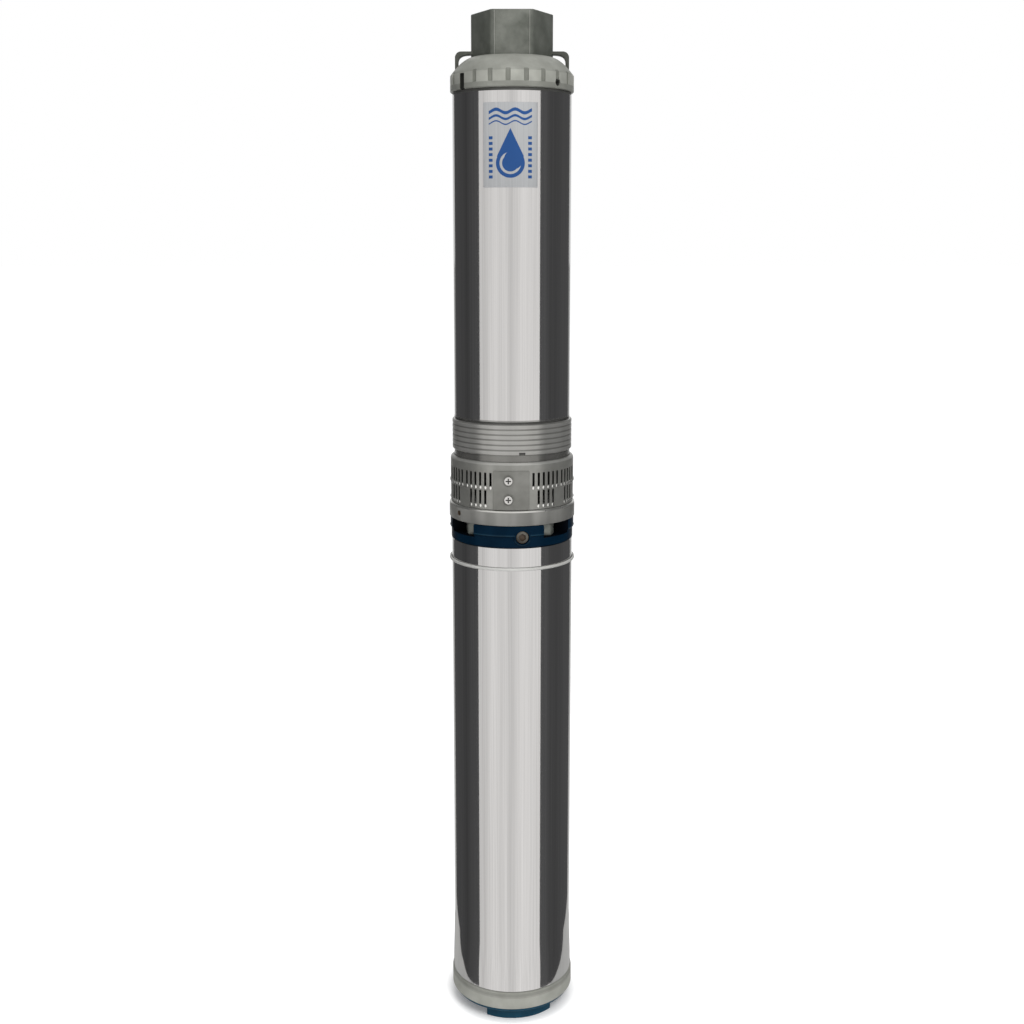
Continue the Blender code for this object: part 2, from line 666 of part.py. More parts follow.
def make_motor():
    top = MOTOR_SHELL_Z + MOTOR_SHELL_LENGTH
    swage = MOTOR_SHELL_RADIUS + SWAGE_SWELL
    swage_z = MOTOR_SHELL_Z + SWAGE_HEIGHT
    profile = [
        (MOTOR_SHELL_RADIUS, top), (MOTOR_SHELL_RADIUS, swage_z + 4 * SWAGE_SWELL),
        (swage, swage_z), (swage, MOTOR_SHELL_Z), (MOTOR_BORE, MOTOR_SHELL_Z), (MOTOR_BORE, top),
    ]
    turned("motor_shell", profile, OUTER_SIDES, POLISHED_STEEL)
    ring("stator_core", MOTOR_FIT, STATOR_BORE, STATOR_Z, STATOR_LENGTH, CASTING_SIDES, LAMINATION)
    make_windings()
    rotor_z = STATOR_Z + ROTOR_END_SETBACK
    ring("rotor_core", ROTOR_RADIUS, JOURNAL_BORE, rotor_z, STATOR_LENGTH - 2 * ROTOR_END_SETBACK,
         INNER_SIDES, LAMINATION)
    runner_top = RUNNER_Z + THRUST_RUNNER_HEIGHT
    spline_z = MOTOR_SHAFT_TOP_Z - SPLINE_LENGTH
    seal_journal_z = SEAL_Z - SEAL_LEDGE_HEIGHT
    profile = [
        (0, MOTOR_SHAFT_TOP_Z), (SPLINE_RADIUS, MOTOR_SHAFT_TOP_Z), (SPLINE_RADIUS, spline_z),
        (SEAL_JOURNAL_RADIUS, spline_z), (SEAL_JOURNAL_RADIUS, seal_journal_z),
        (SHAFT_RADIUS, seal_journal_z), (SHAFT_RADIUS, runner_top + GAP),
        (THRUST_JOURNAL_RADIUS, runner_top + GAP), (THRUST_JOURNAL_RADIUS, RUNNER_Z),
        (0, RUNNER_Z),
    ]
    turned("motor_shaft", profile, INNER_SIDES, SHAFT_STEEL)
    wire_centre = MOTOR_SHELL_RADIUS + GAP + WIRE_RADIUS
    wire_z = MOTOR_SHELL_Z + MOTOR_SHELL_LENGTH - WIRE_DROP
    section = [
        (wire_centre + WIRE_RADIUS * math.cos(turn), wire_z - WIRE_RADIUS * math.sin(turn))
        for turn in (math.tau * i / 6 for i in range(6))
    ]
    turned("retaining_wire_ring", section, CASTING_SIDES, PRESSED_STEEL)


def make_motor_head():
    """Blue upper end of the motor, with four nut pockets, a plug and the lead socket."""
    lower_band = MOTOR_HEAD_RADIUS - MOTOR_HEAD_STEP
    band_z = FACE_Z - MOTOR_HEAD_BAND
    seal_recess = SEAL_RADIUS + GAP
    ledge_z = SEAL_Z - GAP - SEAL_LEDGE_HEIGHT
    profile = [
        (PILOT_RADIUS, PILOT_Z), (PILOT_RADIUS, FACE_Z), (MOTOR_HEAD_RADIUS, FACE_Z),
        (MOTOR_HEAD_RADIUS, band_z), (lower_band, band_z - MOTOR_HEAD_STEP),
        (lower_band, MOTOR_HEAD_Z), (MOTOR_FIT, MOTOR_HEAD_Z), (MOTOR_FIT, HEAD_BOTTOM_Z),
        (BUSH_BORE, HEAD_BOTTOM_Z), (BUSH_BORE, ledge_z), (SEAL_LEDGE_RADIUS, ledge_z),
        (SEAL_LEDGE_RADIUS, SEAL_Z - GAP), (seal_recess, SEAL_Z - GAP), (seal_recess, PILOT_Z),
    ]
    head = turned("motor_head", profile, CASTING_SIDES, BLUE_ENAMEL)

    outside = 1.2 * MOTOR_HEAD_RADIUS
    nut_corner = STUD_NUT_FLATS / math.sqrt(3)
    pocket_inner = STUD_CIRCLE_RADIUS - nut_corner - 4 * GAP
    rim_inner = PILOT_RADIUS + 2 * GAP
    pocket_z = WEB_Z - POCKET_HEIGHT
    nut_half = STUD_NUT_FLATS / 2 + POCKET_SIDE_ROOM
    nut_side = math.degrees(math.asin(nut_half / STUD_CIRCLE_RADIUS))
    arcs = [
        (angle + sweep, angle + nut_side) if sweep < 0 else (angle - nut_side, angle + sweep)
        for angle, sweep in zip(STUD_ANGLES, POCKET_SWEEPS)
    ]
    rooms = [sector(pocket_inner, outside, first, last, 3) for first, last in arcs]
    mouths = [
        sector(rim_inner, outside, first - MOUTH_MARGIN, last + MOUTH_MARGIN, 3)
        for first, last in arcs
    ]
    mouth_z = WEB_Z - GAP
    mouth_height = 3 * PILOT_HEIGHT
    cut(head, plates("pockets", rooms, POCKET_HEIGHT, upright(pocket_z, POCKET_HEIGHT)),
        plates("pocket_mouths", mouths, mouth_height, upright(mouth_z, mouth_height)))

    places = [at_angle(STUD_CIRCLE_RADIUS, angle) for angle in STUD_ANGLES]
    clearance_hole = STUD_RADIUS + GAP
    cut(head, rods("stud_holes", clearance_hole, WEB_Z - POCKET_HEIGHT / 2,
                   PILOT_Z - WEB_Z + POCKET_HEIGHT, 12, places))
    nut_z = WEB_Z - GAP - STUD_NUT_HEIGHT
    stud_z = nut_z + STUD_END_INSET
    stud_top = BRACKET_PLATE_Z + STUD_ENGAGEMENT
    for number, (angle, place) in enumerate(zip(STUD_ANGLES, places), 1):
        rods(f"mounting_stud_{number}", STUD_RADIUS, stud_z, stud_top - stud_z, 12, [place],
             SHAFT_STEEL)
        nut = rods(f"stud_nut_{number}", nut_corner, nut_z, STUD_NUT_HEIGHT, 6, [place],
                   SHAFT_STEEL, turn=angle)
        cut(nut, rods(f"stud_nut_bore_{number}", clearance_hole, nut_z - STUD_NUT_HEIGHT,
                      3 * STUD_NUT_HEIGHT, 12, [place]))

    plug_z = FACE_Z - PLUG_DROP
    plug_face = MOTOR_HEAD_RADIUS - PLUG_SINK
    plug_back = plug_face - PLUG_DEPTH
    cut(head, spoke("plug_hole", PLUG_RADIUS + GAP, plug_back - GAP, outside, plug_z, PLUG_ANGLE, 16))
    plug = spoke("fill_plug", PLUG_RADIUS, plug_back, plug_face, plug_z, PLUG_ANGLE, 16, BRASS)
    cut(plug, spoke("plug_socket", PLUG_SOCKET_RADIUS, plug_face - PLUG_SOCKET_DEPTH, outside,
                    plug_z, PLUG_ANGLE, 6))

    lead_place = at_angle(LEAD_CIRCLE_RADIUS, 180)
    lead_outer = LEAD_BORE_RADIUS + LEAD_WALL
    lead_z = PILOT_Z - LEAD_DEPTH
    cut(head, rods("lead_hole", lead_outer + GAP, lead_z - GAP, 2 * LEAD_DEPTH, 16, [lead_place]))
    socket = rods("lead_socket", lead_outer, lead_z, LEAD_DEPTH, 16, [lead_place], RUBBER)
    cut(socket, rods("lead_bore", LEAD_BORE_RADIUS, lead_z + LEAD_WALL, LEAD_DEPTH, 12, [lead_place]))

    bush_z = ledge_z - GAP - UPPER_BUSH_LENGTH
    ring("upper_bearing_bush", BUSH_RADIUS, JOURNAL_BORE, bush_z, UPPER_BUSH_LENGTH, INNER_SIDES,
         CARBON)
    ring("shaft_seal", SEAL_RADIUS, SEAL_JOURNAL_RADIUS + GAP, SEAL_Z, SEAL_HEIGHT, INNER_SIDES,
         RUBBER)
    ring("sand_slinger", SLINGER_RADIUS, SEAL_JOURNAL_RADIUS + GAP, PILOT_Z + SLINGER_CLEARANCE,
         SLINGER_HEIGHT, INNER_SIDES, RUBBER)


def make_suction_bracket():
    """Casting between motor and pump: a foot, a slotted neck and a ribbed collar."""
    bore = NECK_RADIUS - LEG_WALL
    spigot_bore = PUMP_FIT - BRACKET_SPIGOT_WALL
    collar_top = COLLAR_Z + COLLAR_HEIGHT
    pilot_recess = PILOT_RADIUS + GAP
    rib = COLLAR_HEIGHT / RIB_COUNT
    valley = COLLAR_RADIUS - GROOVE_DEPTH
    ribs = []
    for i in range(1, RIB_COUNT):
        height = collar_top - i * rib
        ribs += [(COLLAR_RADIUS, height + GROOVE_DEPTH), (valley, height),
                 (COLLAR_RADIUS, height - GROOVE_DEPTH)]
    profile = [
        (PUMP_FIT, SPIGOT_TOP_Z), (PUMP_FIT, collar_top), (COLLAR_RADIUS, collar_top), *ribs,
        (COLLAR_RADIUS, COLLAR_Z), (NECK_RADIUS, COLLAR_Z), (NECK_RADIUS, BRACKET_TOP_Z),
        (BRACKET_FOOT_RADIUS, BRACKET_TOP_Z), (BRACKET_FOOT_RADIUS, BRACKET_Z),
        (pilot_recess, BRACKET_Z), (pilot_recess, BRACKET_PLATE_Z),
        (BRACKET_BORE_RADIUS, BRACKET_PLATE_Z), (BRACKET_BORE_RADIUS, BRACKET_TOP_Z),
        (bore, BRACKET_TOP_Z), (bore, NECK_Z), (spigot_bore, COLLAR_Z),
        (spigot_bore, SPIGOT_TOP_Z),
    ]
    bracket = turned("suction_bracket", profile, CASTING_SIDES, PRESSED_STEEL)
    half = WINDOW_WIDTH / 2
    window_low = BRACKET_TOP_Z + WINDOW_MARGIN
    window_high = NECK_Z - UPPER_SLOT_DROP + WINDOW_MARGIN / 2
    corners = ((-half, -1.2 * NECK_RADIUS, window_low), (half, -bore / 2, window_high))
    windows = boxes("windows", corners, [45 + 90 * i for i in range(4)])
    places = [at_angle(STUD_CIRCLE_RADIUS, angle) for angle in STUD_ANGLES]
    stud_holes = rods("bracket_stud_holes", STUD_RADIUS + GAP, BRACKET_PLATE_Z - PILOT_HEIGHT,
                      PILOT_HEIGHT + STUD_ENGAGEMENT + GAP, 12, places)
    notch_half = LEAD_NOTCH_WIDTH / 2
    corners = ((-notch_half, -1.2 * BRACKET_FOOT_RADIUS, BRACKET_Z - PILOT_HEIGHT),
               (notch_half, -BRACKET_BORE_RADIUS + PILOT_HEIGHT, BRACKET_TOP_Z + PILOT_HEIGHT))
    notch = boxes("lead_notch", corners, [180])
    screw_holes = [
        spoke(f"leg_hole_{number}", SCREW_RADIUS + GAP, NECK_RADIUS - SCREW_GRIP - GAP,
              1.2 * NECK_RADIUS, STRAINER_Z + rise, SCREW_ANGLE, 8)
        for number, rise in enumerate(SCREW_HEIGHTS, 1)
    ]
    cut(bracket, windows, stud_holes, notch, *screw_holes)


def slot_cutter(name, count, bottom, height):
    """Narrow boxes through the strainer's sheet, with none under the plate or behind the lead."""
    middle = STRAINER_RADIUS - STRAINER_SHEET / 2
    half = middle * math.radians(SLOT_ANGLE) / 2
    group_pitch = 360 / SLOT_GROUPS
    angles = [
        group * group_pitch + (i - (count - 1) / 2) * SLOT_PITCH
        for group in SLOTTED_GROUPS
        for i in range(count)
    ]
    reach = 3 * STRAINER_SHEET
    corners = ((-half, -middle - reach, bottom), (half, -middle + reach, bottom + height))
    return boxes(name, corners, angles)


def make_strainer():
    top = STRAINER_Z + STRAINER_HEIGHT
    inner = STRAINER_RADIUS - STRAINER_SHEET
    lip = NECK_RADIUS + GAP
    profile = [
        (STRAINER_RADIUS, top), (STRAINER_RADIUS, STRAINER_Z), (inner, STRAINER_Z),
        (inner, top - STRAINER_SHEET), (lip, top - STRAINER_SHEET), (lip, top),
    ]
    strainer = turned("strainer", profile, OUTER_SIDES, PRESSED_STEEL)
    upper = slot_cutter("upper_slots", UPPER_SLOTS, top - UPPER_SLOT_DROP - UPPER_SLOT_HEIGHT,
                        UPPER_SLOT_HEIGHT)
    lower = slot_cutter("lower_slots", LOWER_SLOTS, STRAINER_Z + LOWER_SLOT_RISE,
                        LOWER_SLOT_HEIGHT)
    cut(strainer, upper, lower)

    plate_inner = STRAINER_RADIUS + GAP
    plate_outer = plate_inner + PLATE_THICKNESS
    plate_z = STRAINER_Z + PLATE_RISE
    outline = sector(plate_inner, plate_outer, PLATE_ANGLE - PLATE_HALF_ANGLE,
                     PLATE_ANGLE + PLATE_HALF_ANGLE, 6)
    plate = plates("strainer_plate", [outline], PLATE_HEIGHT, upright(plate_z, PLATE_HEIGHT),
                   PRESSED_STEEL)
    seat = plate_outer + GAP
    for number, rise in enumerate(SCREW_HEIGHTS, 1):
        height = STRAINER_Z + rise
        hole = spoke(f"plate_hole_{number}", SCREW_RADIUS + GAP, NECK_RADIUS + SCREW_GRIP,
                     1.2 * STRAINER_RADIUS, height, SCREW_ANGLE, 8)
        cut(strainer, hole)
        cut(plate, hole)
        screw = spoke(f"plate_screw_{number}", SCREW_HEAD_RADIUS, seat, seat + SCREW_HEAD_HEIGHT,
                      height, SCREW_ANGLE, 10, SHAFT_STEEL)
        shank = spoke(f"plate_shank_{number}", SCREW_RADIUS, NECK_RADIUS - SCREW_GRIP,
                      seat + SCREW_HEAD_HEIGHT / 2, height, SCREW_ANGLE, 8)
        join(screw, shank)


def vane_outline(first):
    """A thin blade that sweeps back from the hub to the impeller's rim."""
    steps = 2
    start = HUB_RADIUS * 0.9
    end = IMPELLER_RADIUS - GAP
    line = []
    for i in range(steps + 1):
        share = i / steps
        line.append(Vector(at_angle(start + (end - start) * share, first - VANE_SWEEP * share)))
    left, right = [], []
    for i, point in enumerate(line):
        along = line[min(i + 1, steps)] - line[max(i - 1, 0)]
        across = Vector((-along.y, along.x)).normalized() * VANE_THICKNESS / 2
        left.append(tuple(point + across))
        right.append(tuple(point - across))
    return left + right[::-1]


def make_stages():
    """Diffusers stacked in the pump shell, with an impeller that turns in each."""
    inner = PUMP_FIT - DIFFUSER_WALL
    height = STAGE_PITCH - GAP
    hub_height = STAGE_PITCH - GAP
    shroud_z = VANE_HEIGHT
    shroud_top = shroud_z + SHROUD_THICKNESS
    profile = [
        (0, hub_height), (HUB_RADIUS, hub_height), (HUB_RADIUS, shroud_top),
        (IMPELLER_RADIUS, shroud_top), (IMPELLER_RADIUS, shroud_z), (HUB_RADIUS, shroud_z),
        (HUB_RADIUS, 0), (0, 0),
    ]
    pattern = turned("impeller_pattern", profile, SMALL_SIDES)
    outlines = [vane_outline(360 * i / VANE_COUNT) for i in range(VANE_COUNT)]
    blade_height = VANE_HEIGHT + SHROUD_THICKNESS / 2
    vanes = plates("vanes", outlines, blade_height, upright(0, blade_height))
    hex_bore = hex_prism("impeller_bore", HEX_BORE_FLATS, -STAGE_PITCH, 3 * STAGE_PITCH)
    cut(join(pattern, vanes), hex_bore)
    impeller_mesh = evaluated_mesh(pattern)
    impeller_mesh.materials.clear()
    impeller_mesh.materials.append(STAGE_RESIN)
    for tool in (pattern, vanes, hex_bore):
        bpy.data.objects.remove(tool)
    for number in range(STAGE_COUNT):
        floor = STAGE_Z + number * STAGE_PITCH
        profile = [
            (PUMP_FIT, floor + height), (PUMP_FIT, floor), (EYE_RADIUS, floor),
            (EYE_RADIUS, floor + DIFFUSER_FLOOR), (inner, floor + DIFFUSER_FLOOR),
            (inner, floor + height),
        ]
        turned(f"diffuser_{number + 1}", profile, INNER_SIDES, STAGE_RESIN)
        impeller = add(f"impeller_{number + 1}", impeller_mesh, STAGE_RESIN)
        impeller.location.z = IMPELLER_Z + number * STAGE_PITCH


def hex_bored(name, radius, bottom, height, material):
    sleeve = disc(name, radius, bottom, height, SMALL_SIDES, material)
    bore = hex_prism(f"{name}_bore", HEX_BORE_FLATS, bottom - height, 3 * height)
    return cut(sleeve, bore)


def make_pump_rotor():
    hex_prism("pump_shaft", PUMP_SHAFT_FLATS, PUMP_SHAFT_Z, PUMP_SHAFT_TOP_Z - PUMP_SHAFT_Z,
              material=SHAFT_STEEL)
    coupling_top = COUPLING_Z + COUPLING_LENGTH
    coupling = disc("shaft_coupling", COUPLING_RADIUS, COUPLING_Z, COUPLING_LENGTH, INNER_SIDES,
                    SHAFT_STEEL)
    splined = rods("coupling_bore", SPLINE_RADIUS + GAP, COUPLING_Z - GAP,
                   MOTOR_SHAFT_TOP_Z + GAP - COUPLING_Z + GAP, INNER_SIDES, [(0, 0)])
    hexed = hex_prism("coupling_hex", HEX_BORE_FLATS, MOTOR_SHAFT_TOP_Z - SHAFT_END_GAP,
                      coupling_top)
    cut(coupling, splined, hexed)
    sleeve_z = coupling_top + GAP
    hex_bored("shaft_sleeve", HUB_RADIUS, sleeve_z, IMPELLER_Z - GAP - sleeve_z, SHAFT_STEEL)
    hex_bored("bearing_sleeve", HUB_RADIUS, HUB_STACK_TOP_Z, NUT_Z - GAP - HUB_STACK_TOP_Z,
              SHAFT_STEEL)
    nut = hex_prism("shaft_nut", NUT_FLATS, NUT_Z, NUT_HEIGHT, material=SHAFT_STEEL)
    bore = hex_prism("nut_bore", HEX_BORE_FLATS, NUT_Z - NUT_HEIGHT, 3 * NUT_HEIGHT)
    cut(nut, bore)


def make_pump_shell():
    ring("pump_shell", PUMP_SHELL_RADIUS, PUMP_BORE, PUMP_SHELL_Z, PUMP_SHELL_LENGTH, OUTER_SIDES,
         POLISHED_STEEL)
    spider("top_bearing_spider", PUMP_FIT, SPIDER_RING_WALL, TOP_HUB_BORE + TOP_HUB_WALL,
           TOP_HUB_BORE, SPIDER_Z, SPIDER_HEIGHT, SPIDER_ARM, INNER_SIDES, CAST_STEEL)
    ring("top_bearing_bush", TOP_BUSH_BORE + TOP_BUSH_WALL, TOP_BUSH_BORE, SPIDER_Z, SPIDER_HEIGHT,
         INNER_SIDES, RUBBER)
    label_inner = PUMP_SHELL_RADIUS + GAP
    outline = sector(label_inner, label_inner + LABEL_THICKNESS, -LABEL_HALF_ANGLE,
                     LABEL_HALF_ANGLE, 8)
    label_z = PUMP_SHELL_Z + PUMP_SHELL_LENGTH - LABEL_DROP - LABEL_HEIGHT
    plates("label_plate", [outline], LABEL_HEIGHT, upright(label_z, LABEL_HEIGHT), LABEL_FOIL)


def rope_eye_outline():
    """Strap that leaves the boss, turns down and lands on the crown, with a curved inner side."""
    top = BOSS_Z + EYE_RISE
    start = BOSS_FLATS / 2
    corner = 2 * EYE_STRAP
    turns = [math.pi / 2 * i / 3 for i in range(4)]
    outer = [
        (EYE_OUTER - corner + corner * math.sin(turn), top - corner + corner * math.cos(turn))
        for turn in turns
    ]
    foot_z = CROWN_Z
    reach = EYE_OUTER - EYE_STRAP - start
    rise = top - EYE_STRAP - (foot_z + CROWN_HEIGHT / 2)
    inner = [
        (start + reach * math.cos(turn), foot_z + CROWN_HEIGHT / 2 + rise * math.sin(turn))
        for turn in turns
    ]
    foot = [(EYE_OUTER, foot_z), (EYE_OUTER - EYE_STRAP, foot_z)]
    return [(start, top), *outer, *foot, *inner]


def make_discharge_head():
    """Cast top: a skirt and crown over the shell, a hexagonal outlet boss and two rope eyes."""
    crown_steps = 4
    crown_bulge = 1.8
    crown = []
    for i in range(crown_steps + 1):
        share = i / crown_steps
        crown.append((CROWN_RADIUS + (SKIRT_RADIUS - CROWN_RADIUS) * share,
                      CROWN_Z + CROWN_HEIGHT * (1 - share ** crown_bulge)))
    profile = [
        (0, BOSS_Z), *crown, (SKIRT_RADIUS, SKIRT_Z), (PUMP_FIT, SKIRT_Z),
        (PUMP_FIT, HEAD_SPIGOT_Z), (0, HEAD_SPIGOT_Z),
    ]
    head = turned("discharge_head", profile, OUTER_SIDES, CAST_STEEL)
    boss_root = BOSS_Z - CROWN_HEIGHT / 2
    boss = hex_prism("boss", BOSS_FLATS, boss_root, TOP_Z - boss_root)
    rounded = boss.modifiers.new("corners", "BEVEL")
    rounded.width = BOSS_CORNER * math.tan(math.radians(30))
    rounded.segments = 2
    rounded.limit_method = "WEIGHT"
    boss_edges = boss.data.attributes.new("bevel_weight_edge", "FLOAT", "EDGE")
    for edge in boss.data.edges:
        low, high = (boss.data.vertices[v].co for v in edge.vertices)
        boss_edges.data[edge.index].value = float(abs(low.z - high.z) > BOSS_HEIGHT / 2)

    stand_up = Matrix.Rotation(math.pi / 2, 4, "X")
    outline = rope_eye_outline()
    eyes = [
        plates(f"eye_{side}", [[(way * x, z) for x, z in outline]], EYE_WIDTH, stand_up)
        for side, way in (("left", -1), ("right", 1))
    ]
    join(head, boss, *eyes)

    flare_z = VALVE_Z + CHAMBER_HEIGHT / 2
    exit_z = GUIDE_Z - GAP - EXIT_LENGTH
    counterbore = CHAMBER_RADIUS + SEAT_LIP
    above = TOP_Z + BOSS_HEIGHT
    below = HEAD_SPIGOT_Z - HEAD_SPIGOT_LENGTH
    profile = [
        (0, above), (OUTLET_RADIUS, above), (OUTLET_RADIUS, GUIDE_Z - GAP),
        (EXIT_RADIUS, GUIDE_Z - GAP), (EXIT_RADIUS, exit_z), (CHAMBER_RADIUS, flare_z),
        (CHAMBER_RADIUS, VALVE_Z), (counterbore, VALVE_Z), (counterbore, below), (0, below),
    ]
    waterway = turned("waterway", profile, INNER_SIDES)
    hole_z = BOSS_Z - ROPE_HOLE_DROP
    lie_down = Matrix.Rotation(math.pi / 2, 4, "X")

    def build_rope_holes(shape):
        for way in (-1, 1):
            matrix = Matrix.Translation((way * ROPE_HOLE_X, 0, hole_z)) @ lie_down
            bmesh.ops.create_cone(
                shape, cap_ends=True, segments=12, radius1=ROPE_HOLE_RADIUS,
                radius2=ROPE_HOLE_RADIUS, depth=2 * CROWN_RADIUS, matrix=matrix,
            )

    rope_holes = from_bmesh("rope_holes", build_rope_holes)
    slot_half = SKIRT_SLOT_WIDTH / 2
    corners = ((-slot_half, -1.2 * SKIRT_RADIUS, SKIRT_Z - SKIRT_SLOT_DEPTH),
               (slot_half, -SKIRT_RADIUS + SKIRT_SLOT_DEPTH, CROWN_Z + SKIRT_SLOT_DEPTH))
    slot = boxes("skirt_slot", corners, [SKIRT_SLOT_ANGLE])
    screw_z = SKIRT_Z + SET_SCREW_RISE
    screw_face = SKIRT_RADIUS - SET_SCREW_SINK
    screw_back = screw_face - SET_SCREW_LENGTH
    screw_hole = spoke("set_screw_hole", SET_SCREW_RADIUS + GAP, screw_back - GAP,
                       1.2 * SKIRT_RADIUS, screw_z, SET_SCREW_ANGLE, 10)
    cut(head, waterway, rope_holes, slot, screw_hole)
    spoke("head_set_screw", SET_SCREW_RADIUS, screw_back, screw_face, screw_z, SET_SCREW_ANGLE, 10,
          SHAFT_STEEL)


def make_check_valve():
    seat_outer = CHAMBER_RADIUS + SEAT_LIP - GAP
    ring("valve_seat", seat_outer, SEAT_BORE_RADIUS, SEAT_Z, SEAT_HEIGHT, INNER_SIDES, RUBBER)
    guide_top = GUIDE_Z + GUIDE_HEIGHT
    stem_top = guide_top + STEM_REACH
    disc_top = VALVE_Z + VALVE_THICKNESS
    shoulder = disc_top + VALVE_CONE_HEIGHT
    profile = [
        (0, stem_top), (STEM_RADIUS, stem_top), (STEM_RADIUS, shoulder),
        (VALVE_SHOULDER_RADIUS, shoulder), (VALVE_RADIUS, disc_top), (VALVE_RADIUS, VALVE_Z),
        (0, VALVE_Z),
    ]
    turned("check_valve", profile, SMALL_SIDES, STAGE_RESIN)
    spider("valve_guide", OUTLET_RADIUS - GAP, GUIDE_RING_WALL, STEM_RADIUS + GAP + GUIDE_HUB_WALL,
           STEM_RADIUS + GAP, GUIDE_Z, GUIDE_HEIGHT, GUIDE_ARM, INNER_SIDES, CAST_STEEL)
    spring_radius = VALVE_SHOULDER_RADIUS + 2 * GAP
    coil("valve_spring", spring_radius, shoulder + GAP + SPRING_WIRE / 2,
         GUIDE_Z - GAP - SPRING_WIRE / 2, SPRING_TURNS, SHAFT_STEEL)


def shade(obj):
    """Smooth across the facets of round pieces, sharp at their edges."""
    if obj.modifiers or len(obj.data.polygons) > 6:
        obj.data.shade_smooth()


make_bottom_cover()
make_lower_end()
make_lower_bearing()
make_motor()
make_motor_head()
make_suction_bracket()
make_strainer()
make_stages()
make_pump_rotor()
make_pump_shell()
make_discharge_head()
make_check_valve()
for piece in PUMP.objects:
    shade(piece)
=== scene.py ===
"""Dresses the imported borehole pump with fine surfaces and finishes, and sets up studio and camera."""

import math

import bpy
from mathutils import Matrix, Vector


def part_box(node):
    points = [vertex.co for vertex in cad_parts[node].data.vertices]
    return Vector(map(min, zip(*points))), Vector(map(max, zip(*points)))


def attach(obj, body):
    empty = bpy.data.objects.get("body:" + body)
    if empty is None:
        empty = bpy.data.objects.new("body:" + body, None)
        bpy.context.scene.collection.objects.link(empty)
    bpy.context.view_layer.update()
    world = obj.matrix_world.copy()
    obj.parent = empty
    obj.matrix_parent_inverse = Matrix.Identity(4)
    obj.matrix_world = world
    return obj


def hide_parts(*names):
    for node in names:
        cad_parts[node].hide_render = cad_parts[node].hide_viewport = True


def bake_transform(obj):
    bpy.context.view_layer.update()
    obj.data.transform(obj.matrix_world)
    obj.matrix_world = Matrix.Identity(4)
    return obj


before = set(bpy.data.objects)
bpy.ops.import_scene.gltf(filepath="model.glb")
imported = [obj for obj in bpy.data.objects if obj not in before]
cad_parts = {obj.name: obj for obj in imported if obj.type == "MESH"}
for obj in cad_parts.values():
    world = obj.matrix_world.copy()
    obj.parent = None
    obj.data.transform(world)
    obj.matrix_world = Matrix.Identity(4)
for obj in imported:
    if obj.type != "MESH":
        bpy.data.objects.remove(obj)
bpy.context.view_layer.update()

# Smoothness of turned work
AROUND = 192
AROUND_SMALL = 48

# Radii, as in the solids
PUMP_TUBE = 0.0455
MOTOR_TUBE = 0.048
TUBE_WALL = 0.0012
SWAGE = 0.0489
SKIRT = 0.04685
CROWN = 0.0295
SPIGOT = 0.0440
HEAD_BAND = 0.049
HEAD_LOWER = 0.04825
BRACKET_FOOT = 0.0497
STRAINER = 0.0485
STRAINER_SHEET = 0.0008
NECK = 0.0455
LEG = 0.043
COLLAR = 0.047
BASE_RING = 0.04975
LID = 0.0476

# Radius of the circle that the four studs stand on
STUD_CIRCLE = 0.0381

# Places around the pump, in degrees from its front, to the right as the front is seen
SLOT_TURN = -51.9
SET_SCREW_TURN = 46.0
RIB_NICK_TURN = 9.5
DRAIN_TURN = -55.6
PLATE_SCREW_TURN = -3.1
FILL_PLUG_TURN = 9.5

HOUSING = "housing"


def span(node):
    """Lowest and highest height of a node of the frame."""
    low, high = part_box(node)
    return low[2], high[2]


FOOT_Z, LID_TOP_Z = span("bottom_cover")
BASE_Z = span("lower_end_bell")[0]
BELL_TOP_Z = span("lower_end_bell")[1]
MOTOR_Z, MOTOR_TOP_Z = span("motor_shell")
BASE_TOP_Z = MOTOR_Z - 0.0003
HEAD_BOTTOM_Z, PILOT_Z = span("motor_head")
FACE_Z = PILOT_Z - 0.003
BRACKET_Z, SPIGOT_TOP_Z = span("suction_bracket")
BRACKET_TOP_Z = BRACKET_Z + 0.0121
STRAINER_Z, NECK_Z = span("strainer")
PUMP_Z, PUMP_TOP_Z = span("pump_shell")
SEAM_Z = PUMP_Z - 0.0021
COLLAR_TOP_Z = SEAM_Z - 0.0003
COLLAR_Z = PUMP_Z - 0.0259
HEAD_SPIGOT_Z, TOP_Z = span("discharge_head")
SKIRT_Z = PUMP_TOP_Z + 0.0003
CROWN_Z = SKIRT_Z + 0.0119
BOSS_Z = CROWN_Z + 0.0134


def clear_selection():
    if bpy.context.object and bpy.context.object.mode != "OBJECT":
        bpy.ops.object.mode_set(mode="OBJECT")
    bpy.ops.object.select_all(action="DESELECT")


def pick(*pieces):
    clear_selection()
    for piece in pieces:
        piece.select_set(True)
    bpy.context.view_layer.objects.active = pieces[0]


def settle(name):
    """Names the piece in hand and puts its place into its mesh."""
    if bpy.context.object.mode != "OBJECT":
        bpy.ops.object.mode_set(mode="OBJECT")
    piece = bpy.context.object
    piece.name = name
    piece.data.name = name
    bpy.ops.object.transform_apply(location=True, rotation=True, scale=True)
    return piece


def draw_outline(points, place):
    """Pulls one point along an outline; place turns each (across, up) pair into a position."""
    clear_selection()
    spots = [Vector(place(*point)) for point in points]
    bpy.ops.mesh.primitive_plane_add(size=0.001, location=spots[0])
    bpy.ops.object.mode_set(mode="EDIT")
    bpy.ops.mesh.merge(type="CENTER")
    for here, there in zip(spots, spots[1:]):
        bpy.ops.mesh.extrude_region_move(TRANSFORM_OT_translate={"value": there - here})
    bpy.ops.mesh.select_all(action="SELECT")


def weld_and_face_out():
    bpy.ops.mesh.select_all(action="SELECT")
    bpy.ops.mesh.remove_doubles(threshold=0.00001)
    bpy.ops.mesh.normals_make_consistent(inside=False)


